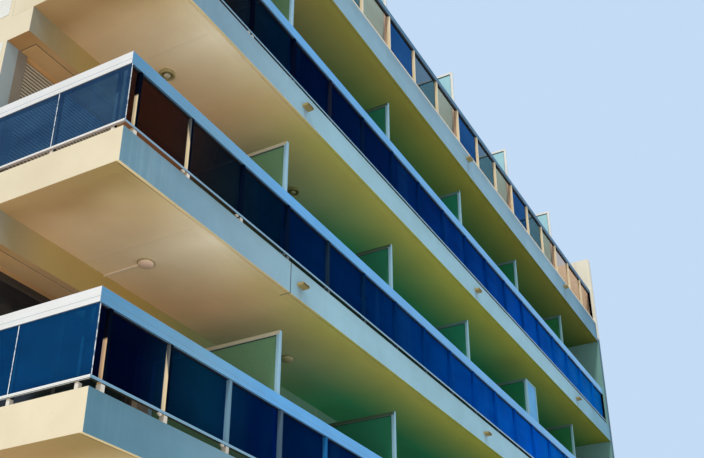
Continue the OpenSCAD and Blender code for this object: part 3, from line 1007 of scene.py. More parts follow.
def onPoints(tree, points, part, **more):
    values = {"Points": points, "Instance": part, **more}
    return addNode(tree, "GeometryNodeInstanceOnPoints", values).outputs[0]


def finishTree(tree, geometry, given, result):
    whole = addNode(tree, "GeometryNodeRealizeInstances", {0: geometry}).outputs[0]
    painted = addNode(tree, "GeometryNodeSetMaterial", {"Geometry": whole, "Material": given["Finish"]})
    tree.links.new(painted.outputs[0], result["Geometry"])
    return tree


def roundedBar(tree, width, height, radius, axis, length):
    # A bar of rounded section along one axis
    outline = addNode(tree, "GeometryNodeCurvePrimitiveQuadrilateral", {"Width": width, "Height": height})
    values = {"Curve": outline.outputs[0], "Radius": radius, "Count": 3}
    outline = addNode(tree, "GeometryNodeFilletCurve", values, mode="POLY").outputs[0]
    end = addNode(tree, "ShaderNodeCombineXYZ", {axis: length}).outputs[0]
    line = addNode(tree, "GeometryNodeCurvePrimitiveLine", {"End": end}).outputs[0]
    values = {"Curve": line, "Profile Curve": outline, "Fill Caps": True}
    return addNode(tree, "GeometryNodeCurveToMesh", values).outputs[0]


def makeCopyTree():
    # Puts one part on every point
    tree, given, result = geometryTree("copies on points", Part="Object")
    part = addNode(tree, "GeometryNodeObjectInfo", {"Object": given["Part"]}).outputs["Geometry"]
    return finishTree(tree, onPoints(tree, given["Geometry"], part), given, result)


def makeBarTree():
    # An upright bar of rounded section on every point
    tree, given, result = geometryTree(
        "upright bars", Width="Float", Depth="Float", Height="Float", Radius="Float"
    )
    bar = roundedBar(tree, given["Width"], given["Depth"], given["Radius"], "Z", given["Height"])
    return finishTree(tree, onPoints(tree, given["Geometry"], bar), given, result)


def makeSlatTree():
    # A curtain of level slats, one above the other
    tree, given, result = geometryTree(
        "shutter slats", Width="Float", Slat_depth="Float", Slat_height="Float", Pitch="Float", Count="Int",
        Radius="Float",
    )
    slat = roundedBar(tree, given["Slat depth"], given["Slat height"], given["Radius"], "X", given["Width"])
    step = addNode(tree, "ShaderNodeCombineXYZ", {"Z": given["Pitch"]}).outputs[0]
    ladder = addNode(tree, "GeometryNodeMeshLine", {"Count": given["Count"], "Offset": step}).outputs[0]
    stack = onPoints(tree, ladder, slat)
    return finishTree(tree, onPoints(tree, given["Geometry"], stack), given, result)


def makeGravelTree():
    # Pebbles scattered over a face
    tree, given, result = geometryTree(
        "pebbles", Density="Float", Smallest="Float", Largest="Float", Seed="Int"
    )
    values = {"Mesh": given["Geometry"], "Density": given["Density"], "Seed": given["Seed"]}
    scattered = addNode(tree, "GeometryNodeDistributePointsOnFaces", values).outputs["Points"]
    pebble = addNode(tree, "GeometryNodeMeshIcoSphere", {"Radius": 1.0, "Subdivisions": 1}).outputs[0]
    flat = {"Geometry": pebble, "Scale": (1.0, 0.8, 0.6)}
    pebble = addNode(tree, "GeometryNodeTransform", flat).outputs[0]
    sizes = {2: given["Smallest"], 3: given["Largest"], "Seed": given["Seed"]}
    size = addNode(tree, "FunctionNodeRandomValue", sizes).outputs[1]
    turns = {1: (0.6, 0.6, 6.28), "Seed": 3}
    turn = addNode(tree, "FunctionNodeRandomValue", turns, data_type="FLOAT_VECTOR").outputs[0]
    placed = onPoints(tree, scattered, pebble, Scale=size, Rotation=turn)
    return finishTree(tree, placed, given, result)


copyTree = makeCopyTree()
barTree = makeBarTree()
slatTree = makeSlatTree()
gravelTree = makeGravelTree()


def placeCopies(name, partMesh, places, material, slot, *replaced):
    part = newObject("part", partMesh)
    mesh = runTree(copyTree, pointMesh(places), {"Part": part, "Finish": material})
    bpy.data.objects.remove(part)
    dress(name, mesh, material, slot, *replaced)


def inBays(offset, y, heights):
    # A place in every bay at each height, at an offset from the bay's middle
    return [(bayX(bay) + offset, y, z) for z in heights for bay in range(bays)]


def lathe(outline, sides=40):
    # Turns an outline of (radius, height) points round the upright axis
    shape = bmesh.new()
    angles = [2 * math.pi * side / sides for side in range(sides)]
    addLoft(shape, [
        [(radius * math.cos(angle), radius * math.sin(angle), height) for angle in angles]
        for radius, height in outline
    ])
    return toMesh(shape)


# Fascias: rounded arrises, a drip groove under the front edge and one upright joint
fasciaValues = {
    "arris": 0.006,
    "dripSet": 0.034,
    "dripWidth": 0.014,
    "dripDepth": 0.012,
    "jointLevel": 2,
    "jointWidth": 0.012,
    "jointDepth": 0.007,
    "past": 0.01,  # how far the cutter reaches past the faces
}


def makeFascia(level):
    low, top, past = levelZ[level], fasciaTop[level], fasciaValues["past"]
    innerX, innerY = leftX + fasciaThick, frontY + fasciaThick
    outline = (
        (leftX, frontY), (endX, frontY), (endX, innerY), (innerX, innerY), (innerX, wallY), (leftX, wallY)
    )
    shape = bmesh.new()
    addLoft(shape, [[(x, y, z) for x, y in outline] for z in (low, top)])

    def jointWithSlab(edge):
        # Stays sharp, so the underside runs on flush into the slab's
        ends = [vertex.co for vertex in edge.verts]
        return all(end.z < low + 0.01 and end.y > frontY + 0.1 and end.x > leftX + 0.1 for end in ends)

    body = newObject("fascia", toMesh(shape, fasciaValues["arris"], 3, jointWithSlab))
    cutter = bmesh.new()
    dripY = frontY + fasciaValues["dripSet"]
    addBox(
        cutter, (leftX + fasciaValues["dripSet"], dripY, low - past),
        (endX + past, dripY + fasciaValues["dripWidth"], low + fasciaValues["dripDepth"]),
    )
    if level == fasciaValues["jointLevel"]:
        half = fasciaValues["jointWidth"] / 2
        addBox(
            cutter, (partyX(1) - half, frontY - past, low - 2 * past),
            (partyX(1) + half, frontY + fasciaValues["jointDepth"], top + past),
        )
    tool = newObject("cutter", toMesh(cutter))
    cut = body.modifiers.new("cut", "BOOLEAN")
    cut.operation, cut.solver, cut.object = "DIFFERENCE", "EXACT", tool
    mesh = bakedMesh(body)
    bpy.data.objects.remove(tool)
    dress(f"fascia{level}", mesh, fasciaPaint, "cream_render", f"balcony_fascia_{level}")


for level in levels:
    makeFascia(level)
print("fascias made")

# Handrail: lengthwise grooves in its face and a glazing channel below
handrailValues = {
    "jointLines": (2, 4),  # party lines with a butt joint
    "jointGap": 0.002,
    "grooves": ((0.16, 0.0008, 0.004), (0.36, 0.0024, 0.009), (0.71, 0.0006, 0.004)),
    "channelWidth": 0.013,
    "channelDepth": 0.016,
}
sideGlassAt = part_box("balustrade_glass_1")[0].x - railLow.x  # from the handrail's outer face


def handrailProfile(height):
    # Points of (distance from the outer face, height above the underside), from the outer lip round
    depth = railDepth
    channel = sideGlassAt - 0.0015
    channelEnd, channelTop = channel + handrailValues["channelWidth"], handrailValues["channelDepth"]
    face = []
    for middle, deep, wide in handrailValues["grooves"]:  # share of the height, depth and width
        low, high = middle * height - wide / 2, middle * height + wide / 2
        face += [(0.0, low), (deep, low + 0.0015), (deep, high - 0.0015), (0.0, high)]
    return (
        (0.004, 0.0), (0.0, 0.004), *face, (0.0, height - 0.010), (0.003, height - 0.003), (0.010, height),
        (depth - 0.010, height), (depth - 0.003, height - 0.003), (depth, height - 0.010), (depth, 0.004),
        (depth - 0.003, 0.0), (channelEnd, 0.0), (channelEnd, channelTop), (channel, channelTop),
        (channel, 0.0),
    )


def sweepRound(shape, profile, z, sideEnd, frontEnd):
    # Carries a profile along the left side, round the mitred corner and along the front
    corner = [(leftX + railInset + d, frontY + railInset + d, z + height) for d, height in profile]
    side = [(x, sideEnd, top) for x, _, top in corner]
    front = [(frontEnd, y, top) for _, y, top in corner]
    addLoft(shape, [side, corner, front])


def makeHandrail(level):
    low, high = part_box(f"top_rail_{level}")
    shape = bmesh.new()
    profile = handrailProfile(high.z - low.z)
    gap = handrailValues["jointGap"] / 2
    joints = [partyX(line) for line in handrailValues["jointLines"]]
    sweepRound(shape, profile, low.z, railHigh.y, joints[0] - gap)
    for start, end in zip(joints, joints[1:] + [endX + gap]):
        addLoft(shape, [
            [(x, frontY + railInset + d, low.z + height) for d, height in profile]
            for x in (start + gap, end - gap)
        ])
    dress(f"handrail{level}", toMesh(shape), railLacquer, "rail_aluminium", f"top_rail_{level}")


for level in levels:
    makeHandrail(level)
print("handrails made")

# Posts, in front of the panes on the front and behind them on the left side
postValues = {
    "width": 0.04,
    "radius": 0.003,
    "perBay": 3,
    "corner": 0.22,
    "side": 1.04,
}
postHalf = postValues["width"] / 2
frontPostX = (
    [leftX + postValues["corner"]]
    + [partyX(0) + step * bayWidth / postValues["perBay"] for step in range(1, bays * postValues["perBay"])]
    + [endX - postHalf]
)
sidePostY = [frontY + postValues["corner"], frontY + postValues["side"]]
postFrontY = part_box("balustrade_posts")[0].y
frontPostDepth = dividerLow.y - postFrontY
frontPostY = postFrontY + frontPostDepth / 2
sidePostX = leftX + railInset + railDepth - postHalf
levelGroups = {"Low": [level for level in levels if level != terraceLevel], "Terrace": [terraceLevel]}


def makePosts():
    for side, depth, places in (
        ("front", frontPostDepth, [(x, frontPostY) for x in frontPostX]),
        ("side", postValues["width"], [(sidePostX, y) for y in sidePostY]),
    ):
        for label, chosen in levelGroups.items():
            points = pointMesh([(x, y, fasciaTop[level]) for level in chosen for x, y in places])
            values = {
                "Width": postValues["width"], "Depth": depth,
                "Height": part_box(f"top_rail_{chosen[0]}")[0].z - fasciaTop[chosen[0]],
                "Radius": postValues["radius"], "Finish": postLacquer,
            }
            mesh = runTree(barTree, points, values)
            dress(f"{side}Posts{label}", mesh, postLacquer, "rail_aluminium", "balustrade_posts")


makePosts()

# Shoes, clamps and bolts at the posts' feet
shoeValues = {
    "lip": 0.003,
    "height": 0.098,
    "base": 0.008,
    "foot": 0.014,
    "footSet": 0.012,
    "clampLength": 0.05,
    "clampHeight": 0.016,
    "clampPlace": (-0.075, 0.02),  # from the post's middle and from the handrail's outer face
    "boltRadius": 0.004,
    "boltPlace": (0.009, 0.016),  # beyond the post's side and behind its middle
}


def makeShoe(depth):
    lip, height, half = shoeValues["lip"], shoeValues["height"], depth / 2
    shape = bmesh.new()
    addBox(shape, (-postHalf - lip, -half - lip, 0), (postHalf + lip, -half - hair, height))
    addBothSides(shape, postHalf + hair, postHalf + lip, (-half, 0), (half, height))
    foot = postHalf + shoeValues["foot"]
    addBox(shape, (-foot, -half + shoeValues["footSet"], 0), (foot, half, shoeValues["base"]))
    return toMesh(shape, 0.0015)


def makeClamp():
    half, height = shoeValues["clampLength"] / 2, shoeValues["clampHeight"]
    shape = bmesh.new()
    addBox(shape, (-half, -0.012, -height), (half, 0.012, 0))
    addBox(shape, (-0.008, -0.016, -height - 0.012), (0.008, 0.008, 0))
    return toMesh(shape, 0.002)


def makeBolt():
    radius = shoeValues["boltRadius"]
    return lathe([(radius, 0), (radius, 0.004), (radius * 0.6, 0.006), (radius * 0.6, 0.01)], 8)


bottomRailLow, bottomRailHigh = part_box("bottom_rails")
railGap = bottomRailLow.z - fasciaTop[1]
bottomRailHeight = bottomRailHigh.z - railGap - fasciaTop[terraceLevel]


def makeFittings():
    clampX, clampIn = shoeValues["clampPlace"]
    boltX, boltIn = shoeValues["boltPlace"]
    boltX += postHalf
    boltY, boltZ = frontPostY + boltIn, shoeValues["base"]
    clampY = frontY + railInset + clampIn
    tops = [fasciaTop[level] for level in levels]
    fronts = [(x, frontPostY, top) for top in tops for x in frontPostX[:-1]]
    sides = [(sidePostX, y, top) for top in tops for y in sidePostY]
    clamps = [(x + clampX, clampY, top + railGap) for top in tops for x in frontPostX[1:-1]]
    bolts = [
        (x + side * boltX, boltY, top + boltZ) for top in tops for x in frontPostX[:-1] for side in (-1, 1)
    ]
    for name, part, places, finish in (
        ("frontShoes", makeShoe(frontPostDepth), fronts, bracketPaint),
        ("sideShoes", makeShoe(postValues["width"]), sides, bracketPaint),
        ("frontClamps", makeClamp(), clamps, bracketPaint),
        ("shoeBolts", makeBolt(), bolts, boltMetal),
    ):
        placeCopies(name, part, places, finish, "rail_aluminium")


makeFittings()
print("posts, shoes and bolts made")

# Bottom rail: a grooved face in front of the posts and a shelf between them, with a back flange on the side
bottomRailValues = {
    "face": 0.005,
    "shelf": 0.012,
    "sideShelf": 0.02,
    "flangeAt": 0.016,
    "groove": (0.36, 0.39, 0.45, 0.48),  # shares of the height
    "grooveDepth": 0.0015,
}


def makeBottomRails():
    face, shelf, deep = (bottomRailValues[name] for name in ("face", "shelf", "grooveDepth"))
    height = bottomRailHeight
    low, lowDeep, highDeep, high = (share * height for share in bottomRailValues["groove"])
    profile = (
        (0.002, 0.0), (0.0, 0.002), (0.0, low), (deep, lowDeep), (deep, highDeep), (0.0, high),
        (0.0, height - 0.003), (0.002, height), (face, height), (face, 0.0),
    )
    shape = bmesh.new()
    faceX, faceY = leftX + railInset + face, frontY + railInset + face
    shelfX, flangeX = faceX + bottomRailValues["sideShelf"], faceX + bottomRailValues["flangeAt"]
    inner = frontY + railInset + railDepth
    for level in levels:
        z = fasciaTop[level] + railGap
        under, top = z + height - shelf, z + height
        sweepRound(shape, profile, z, railHigh.y, endX)
        addBox(shape, (faceX, faceY, under), (shelfX, railHigh.y, top))
        addBox(shape, (flangeX, faceY, z), (shelfX, railHigh.y, under))
        starts = [shelfX] + [x + postHalf + hair for x in frontPostX[:-1]]
        ends = [x - postHalf - hair for x in frontPostX]
        for start, end in zip(starts, ends):
            addBox(shape, (start, faceY, under), (end, inner, top))
    dress("bottomRails", toMesh(shape), bottomRailLacquer, "rail_aluminium", "bottom_rails")


makeBottomRails()
print("bottom rails made")

# Panes, their pale edge at the corner and the joint on the side
paneValues = {
    "thick": 0.01,
    "set": 0.004,  # in front of the handrail's inner face
    "bevel": 0.001,
    "joint": 0.003,
    "bead": 0.009,
    "beadProud": 0.0015,
}


def paneKind(level, index):
    if level != terraceLevel:
        return "Far" if index > glassValues["nearPanes"] else "Near"
    if index in glassValues["hazyPanes"]:
        return "Hazy"
    return "Far" if index in glassValues["clearPanes"] else "Near"


def makePanes(level):
    low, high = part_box(f"balustrade_glass_{level}")
    glasses = {"Near": smokedGlass, "Far": farGlass}
    if level == terraceLevel:
        glasses = {"Near": terraceGlass, "Far": clearGlass, "Hazy": hazyGlass}
    shapes = {kind: bmesh.new() for kind in glasses}
    thick, joint = paneValues["thick"], paneValues["joint"]
    paneY = frontY + railInset + railDepth - paneValues["set"] - thick
    starts = [low.x + thick + hair] + [x + postHalf + joint for x in frontPostX[:-1]]
    ends = [x - postHalf - joint for x in frontPostX]
    for index, (start, end) in enumerate(zip(starts, ends)):
        addBox(shapes[paneKind(level, index)], (start, paneY, low.z), (end, paneY + thick, high.z))
    sideJoint = sidePostY[1]
    addBox(shapes["Near"], low, (low.x + thick, sideJoint - joint / 2, high.z))
    addBox(shapes["Near"], (low.x, sideJoint + joint / 2, low.z), (low.x + thick, high.y, high.z))
    for kind, glass in glasses.items():
        mesh = toMesh(shapes[kind], paneValues["bevel"], 1)
        dress(f"balustradePanes{kind}{level}", mesh, glass, "smoked_glass", f"balustrade_glass_{level}")


def makeBeads():
    shape = bmesh.new()
    proud, width, joint = paneValues["beadProud"], paneValues["bead"], sidePostY[1]
    for level in levels:
        low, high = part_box(f"balustrade_glass_{level}")
        outer, face = low.x - proud, 0.0002  # the face's gap to the glass
        addBox(shape, (outer, low.y - proud, low.z), (low.x + width, low.y - face, high.z))
        addBox(shape, (outer, joint - width / 2, low.z), (low.x - face, joint + width / 2, high.z))
    dress("paneBeads", toMesh(shape), paleBead, "rail_aluminium")


for level in levels:
    makePanes(level)
makeBeads()
print("panes made")

# Dividers: a rounded tube frame, a dark gasket line and an obscured pane
dividerValues = {
    "radius": 0.005,
    "gasket": 0.008,
    "gasketProud": 0.003,
    "pane": 0.012,
}
screenLow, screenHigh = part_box("balcony_screen")  # as high as the dividers under a balcony
paneHalf = dividerValues["pane"] / 2


def makeDividerFrame(depth, height):
    # Seen from the side: two stiles and two bars, mitred at the corners
    bar = dividerBar
    outer = ((0, 0), (depth, 0), (depth, height), (0, height))
    inner = [(min(max(y, bar), depth - bar), min(max(z, bar), height - bar)) for y, z in outer]
    shape = bmesh.new()
    for index in range(4):
        following = (index + 1) % 4
        corners = (outer[index], outer[following], inner[following], inner[index])
        addLoft(shape, [[(x, y, z) for y, z in corners] for x in (-bar / 2, bar / 2)])
    return toMesh(shape, dividerValues["radius"])


def makeGasketRing(depth, height):
    proud, width = paneHalf + dividerValues["gasketProud"], dividerValues["gasket"]
    start, end, top = dividerBar, depth - dividerBar, height - dividerBar
    strips = (
        ((start, start), (end, start + width)), ((start, top - width), (end, top)),
        ((start, start + width), (start + width, top - width)),
        ((end - width, start + width), (end, top - width)),
    )
    shape = bmesh.new()
    for low, high in strips:
        addBothSides(shape, paneHalf, proud, low, high)
    return toMesh(shape)


def makeDividerPane(depth, height):
    bar = dividerBar
    shape = bmesh.new()
    addBox(shape, (-paneHalf, bar, bar), (paneHalf, depth - bar, height - bar))
    return toMesh(shape, 0.001, 1)


def makeDividers():
    depth = dividerHigh.y - dividerLow.y
    heights = {"Low": screenHigh.z - screenLow.z, "Terrace": dividerHigh.z - fasciaTop[terraceLevel]}
    for label, chosen in levelGroups.items():
        places = [
            (partyX(line), dividerLow.y, fasciaTop[level]) for level in chosen for line in range(1, bays)
        ]
        for name, make, *finish in (
            ("dividerFrames", makeDividerFrame, dividerLacquer, "rail_aluminium", "divider_frames"),
            ("dividerPanes", makeDividerPane, obscuredPane, "frosted_pane", "divider_panes"),
            ("dividerGaskets", makeGasketRing, darkGasket, "frosted_pane"),
        ):
            placeCopies(name + label, make(depth, heights[label]), places, *finish)


makeDividers()

# Flat screen beside one divider, in a light frame
screenValues = {"bar": 0.04, "panelSet": 0.008, "tone": colour(84, 170, 226), "worn": colour(66, 150, 208)}
screenPaint = makeSimplePaint("screen panel", screenValues["tone"], screenValues["worn"], 0.5, 0.0006)


def makeScreen():
    low, high, bar = screenLow, screenHigh, screenValues["bar"]
    shape = bmesh.new()
    addFrame(shape, low, high, bar, bar, bar)
    dress("screenFrame", toMesh(shape, 0.003), dividerLacquer, "rail_aluminium", "balcony_screen")
    inset = Vector((bar, screenValues["panelSet"], bar))
    shape = bmesh.new()
    addBox(shape, low + inset, high - inset)
    dress("screenPanel", toMesh(shape), screenPaint, "rail_aluminium", "balcony_screen")


makeScreen()
print("dividers and screen made")

# Sliding doors, ground storey doors and rear windows, all of two leaves on two tracks
leafValues = {
    "frame": 0.04,
    "bottom": 0.7,  # share of the frame's width
    "stile": 0.055,
    "bottomStile": 1.2,  # share of the stile's width
    "leafDepth": 0.022,
    "trackSet": 0.006,
    "overlap": 0.02,
    "glass": 0.008,
    "pull": 0.26,
    "pullHeights": {"sliding": 0.95, "ground": 0.9},
    "transom": 2.345,  # height of the ground doors under their fanlight
    "bevel": 0.002,
}
leafFrame, stile, trackSet = (leafValues[name] for name in ("frame", "stile", "trackSet"))
glassHalf = leafValues["glass"] / 2


def leafPair(width, height, depth):
    # Frame and panes of an opening, its corner at the origin and its outer face towards -Y
    frameShape, glassShape = bmesh.new(), bmesh.new()
    low, high = leafFrame * leafValues["bottom"], height - leafFrame
    addFrame(frameShape, (0, 0, 0), (width, depth, height), leafFrame, low, leafFrame)
    leafWidth = (width - 2 * leafFrame) / 2 + leafValues["overlap"]
    rear = depth - trackSet - leafValues["leafDepth"]
    foot = stile * leafValues["bottomStile"]
    for start, track in ((leafFrame, trackSet), (width - leafFrame - leafWidth, rear)):
        end, back = start + leafWidth, track + leafValues["leafDepth"]
        addFrame(frameShape, (start, track, low), (end, back, high), stile, foot, stile)
        middle = (track + back) / 2
        addBox(
            glassShape, (start + stile, middle - glassHalf, low + foot),
            (end - stile, middle + glassHalf, high - stile),
        )
    return frameShape, glassShape


def addPull(shape, z):
    # An upright pull on the outer leaf's stile
    x, y, length = leafFrame + stile / 2, trackSet, leafValues["pull"]
    addBox(shape, (x - 0.008, y - 0.022, z), (x + 0.008, y - 0.012, z + length))
    for end in (z + 0.02, z + length - 0.036):
        addBox(shape, (x - 0.006, y - 0.012, end), (x + 0.006, y, end + 0.016))


def openingBox(node):
    low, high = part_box(node)
    return low, high, high.x - low.x - (bays - 1) * bayWidth


def placeOpenings(name, shapes, places, node):
    # The frames and then the panes of one kind of opening
    frameShape, glassShape = shapes
    frameMesh, glassMesh = toMesh(frameShape, leafValues["bevel"]), toMesh(glassShape)
    placeCopies(name + "s", frameMesh, places, frameLacquer, "window_aluminium", node + "_frames")
    placeCopies(name + "Panes", glassMesh, places, windowGlass, "window_glass", node + "_glass")


def makeSlidingDoors():
    low, high, width = openingBox("sliding_door_frames")
    shapes = leafPair(width, high.z - levelZ[terraceLevel] - floorZ, high.y - low.y)
    addPull(shapes[0], leafValues["pullHeights"]["sliding"])
    places = inBays(-width / 2, low.y, [levelZ[level] + floorZ for level in levels])
    placeOpenings("slidingDoor", shapes, places, "sliding_door")


def makeGroundDoors():
    low, high, width = openingBox("ground_door_frames")
    depth, top, transom = high.y - low.y, high.z - low.z, leafValues["transom"]
    frameShape, glassShape = leafPair(width, transom, depth)
    addPull(frameShape, leafValues["pullHeights"]["ground"])
    light, mullion = transom + stile, stile / 2
    addBox(frameShape, (0, 0, transom), (width, depth, light))
    addBox(frameShape, (0, 0, light), (stile, depth, top))
    addBox(frameShape, (width - stile, 0, light), (width, depth, top))
    addBox(frameShape, (stile, 0, top - stile), (width - stile, depth, top))
    addBox(frameShape, (width / 2 - mullion, 0, light), (width / 2 + mullion, depth, top - stile))
    for start, end in ((stile, width / 2 - mullion), (width / 2 + mullion, width - stile)):
        addBox(
            glassShape, (start, depth / 2 - glassHalf, light), (end, depth / 2 + glassHalf, top - stile)
        )
    places = inBays(-width / 2, low.y, [low.z])
    placeOpenings("groundDoor", (frameShape, glassShape), places, "ground_door")


def makeRearWindows():
    low, high, width = openingBox("rear_window_frames")
    sill = low.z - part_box("ground_slab")[1].z
    shapes = leafPair(width, high.z - levelZ[terraceLevel] - floorZ - sill, high.y - low.y)
    for shape in shapes:  # turned to look to the rear
        bmesh.ops.rotate(shape, verts=shape.verts, matrix=Matrix.Rotation(math.pi, 3, "Z"))
    floors = [low.z - sill] + [levelZ[level] + floorZ for level in levels]
    places = inBays(width / 2, high.y, [floor + sill for floor in floors])
    placeOpenings("rearWindow", shapes, places, "rear_window")
    shape = bmesh.new()
    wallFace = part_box("rear_wall_1")[1].y - high.y
    profile = ((0.001, 0.0), (wallFace, 0.0), (wallFace, 0.012), (0.001, 0.03))
    addLoft(shape, [[(x, y, z) for y, z in profile] for x in (-width + 0.002, -0.002)])
    placeCopies("rearSills", toMesh(shape, 0.002), places, whitePaint, "white_render")


makeSlidingDoors()
makeGroundDoors()
makeRearWindows()
print("doors and windows made")

# Lowered shutter of the corner studio
shutterValues = {
    "pitch": 0.048,
    "slatHeight": 0.031,
    "slatDepth": 0.010,
    "radius": 0.004,
    "guide": 0.035,
    "web": 0.006,
    "slot": 0.008,  # from the curtain's middle to the slot's face
    "slide": 0.01,  # how far the slats reach into the guides
    "linkSlide": 0.008,  # and the links between them
    "barDepth": 0.009,  # half the bottom bar's
    "barHeight": 0.022,
}


def makeShutter():
    low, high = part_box("roller_shutter")
    guide, web, slot, slide = (shutterValues[name] for name in ("guide", "web", "slot", "slide"))
    middle = (low.y + high.y) / 2
    values = {
        "Width": high.x - low.x - 2 * guide + 2 * slide, "Slat depth": shutterValues["slatDepth"],
        "Slat height": shutterValues["slatHeight"], "Pitch": shutterValues["pitch"],
        "Count": int((high.z - low.z - 0.02) / shutterValues["pitch"]),
        "Radius": shutterValues["radius"], "Finish": slatLacquer,
    }
    points = pointMesh([(low.x + guide - slide, middle, low.z + 0.045)])
    slats = runTree(slatTree, points, values)
    dress("shutterSlats", slats, slatLacquer, "shutter_slats", "roller_shutter")
    shape = bmesh.new()
    for x, webX in ((low.x, low.x), (high.x - guide, high.x - web)):
        addBox(shape, (x, low.y, low.z), (x + guide, middle - slot, high.z))
        addBox(shape, (x, middle + slot, low.z), (x + guide, high.y, high.z))
        addBox(shape, (webX, middle - slot, low.z), (webX + web, middle + slot, high.z))
    start, end = low.x + guide, high.x - guide
    half, top = shutterValues["barDepth"], low.z + shutterValues["barHeight"]
    addBox(shape, (start, middle - half, low.z + 0.001), (end, middle + half, top))
    dress("shutterGuides", toMesh(shape, 0.0015), slatLacquer, "shutter_slats", "roller_shutter")
    start, end = start - shutterValues["linkSlide"], end + shutterValues["linkSlide"]
    shape = bmesh.new()  # the dark links between the slats
    addBox(shape, (start, middle - 0.001, low.z + 0.02), (end, middle + 0.002, high.z - 0.002))
    dress("shutterLinks", toMesh(shape), darkLink, "shutter_slats", "roller_shutter")


makeShutter()
print("shutter made")

# Cover panels of the shutter boxes, in the underside of each beam
coverValues = {"front": 0.10, "thick": 0.006, "end": 0.12, "gap": 0.006, "line": 0.002, "back": 0.004}


def makeCovers():
    front, thick, gap, line = (coverValues[name] for name in ("front", "thick", "gap", "line"))
    half = bayWidth / 2 - coverValues["end"]
    back = beamHigh.y - beamLow.y - coverValues["back"]
    panel, edge = bmesh.new(), bmesh.new()
    addBox(panel, (-half, front, -thick), (half, back, -hair))
    # Dark strips in the gap round each cover: painted shade
    addBox(edge, (-half - gap, front - gap, -line), (half + gap, front, -hair))
    addBothSides(edge, half, half + gap, (front, -line), (back, -hair))
    places = inBays(0.0, beamLow.y, [levelZ[level] - beamDrop for level in levels])
    placeCopies("boxCovers", toMesh(panel, 0.002), places, coverPaint, "soffit_paint")
    placeCopies("boxCoverLines", toMesh(edge), places, darkGasket, "soffit_paint")


makeCovers()

# Drain spouts: short square tubes through the fascia
spoutValues = {"height": 0.036, "wall": 0.005, "perLevel": 3}


def makeSpouts():
    halfX, halfZ, wall = spoutWidth / 2, spoutValues["height"] / 2, spoutValues["wall"]
    reach = frontY - spoutLow.y
    outer = ((-halfX, -halfZ), (halfX, -halfZ), (halfX, halfZ), (-halfX, halfZ))
    inner = [(x * (1 - wall / halfX), z * (1 - wall / halfZ)) for x, z in outer]
    rings = ((outer, 0), (outer, -reach), (inner, -reach), (inner, -0.002))
    shape = bmesh.new()
    addLoft(shape, [[(x, y, z) for x, z in ring] for ring, y in rings])
    places = []
    for level in levels:
        z = spoutLow.z + halfZ + levelZ[level] - levelZ[1]
        if level == terraceLevel:
            z = spoutHigh.z - halfZ
        steps = range(spoutValues["perLevel"])
        places += [(spoutLow.x + halfX + step * 2 * bayWidth, frontY, z) for step in steps]
    placeCopies("drainSpouts", toMesh(shape, 0.0015), places, spoutPaint, "spout_paint", "drain_spouts")


makeSpouts()

# Ceiling lights: shallow domes under even levels, deep rings with a small bulb under the others
lampValues = {
    "shift": 0.09,  # from the middle of the studio
    "hub": 0.02,  # radius at which the rims and rings close over the middle
    "trunkingLevel": 2,
    "trunking": (0.010, 0.018),  # half width and depth
    "clip": (0.013, 0.020, 0.016),  # half width, depth and length
    "clipsAt": (0.16, 0.36, -0.06),  # two from the lamp's middle and one from the beam
}


def makeLamps():
    low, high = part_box("ceiling_lights")
    radius = bayX(0) + lampValues["shift"] - low.x
    height, hub = levelZ[1] - low.z, lampValues["hub"]

    def turned(outline, sides=40):
        # Takes shares of the lamp's radius and depths under the ceiling
        return lathe([(share * radius, -depth) for share, depth in outline], sides)

    hubShare = hub / radius
    rim = turned([
        (hubShare, 0.001), (0.97, 0.001), (1, 0.005), (1, 0.014), (0.96, 0.018), (0.91, 0.016),
        (hubShare, 0.012),
    ])
    dome = turned([
        (0.90, 0.010), (0.90, 0.022), (0.85, 0.036), (0.72, 0.048), (0.5, 0.057), (0.26, height - 0.003),
        (0.05, height - hair),
    ])
    ring = turned([
        (hubShare, 0.001), (0.97, 0.001), (0.97, 0.008), (1, 0.016), (1, 0.034), (0.93, 0.042),
        (0.82, 0.044), (0.76, 0.038), (0.72, 0.012), (hubShare, 0.010),
    ])
    bulb = turned([
        (0.26, 0.008), (0.30, 0.020), (0.40, 0.034), (0.42, 0.046), (0.34, 0.057), (0.18, height - 0.002),
        (0.04, height - hair),
    ], 32)
    lampY = low.y + radius
    for name, mesh, odd, finish in (
        ("lampRims", rim, 0, lampRing), ("lampDomes", dome, 0, lampDome),
        ("lampRings", ring, 1, lampRing), ("lampBulbs", bulb, 1, lampBulb),
    ):
        ceilings = [levelZ[level] for level in levels if level % 2 == odd]
        places = inBays(lampValues["shift"], lampY, ceilings)
        placeCopies(name, mesh, places, finish, "light_housing", "ceiling_lights")
    middle, z = low.x + radius, levelZ[lampValues["trunkingLevel"]]
    half, depth = lampValues["trunking"]
    shape = bmesh.new()
    addBox(shape, (middle - half, lampY + radius * 0.95, z - depth), (middle + half, beamLow.y, z - hair))
    half, depth, length = lampValues["clip"]
    first, second, last = lampValues["clipsAt"]
    for y in (lampY + first, lampY + second, beamLow.y + last):
        addBox(shape, (middle - half, y, z - depth), (middle + half, y + length, z - hair))
    dress("lampTrunking", toMesh(shape, 0.002), trunkingPlastic, "light_housing")


makeLamps()
print("covers, spouts and lamps made")

# Coping: folded sheet with drip edges, in lengths
copingValues = {
    "fold": 0.004,
    "foldTop": 0.012,  # above the sheet's underside
    "foldFoot": (0.028, 0.012),  # the drip edge's drop below the top, and its lip
    "length": 2.95,
    "cover": 0.06,
    "coverThick": 0.003,
    "parapet": 0.15,  # thickness of the walls under the front and rear coping
    "gable": 0.18,
}


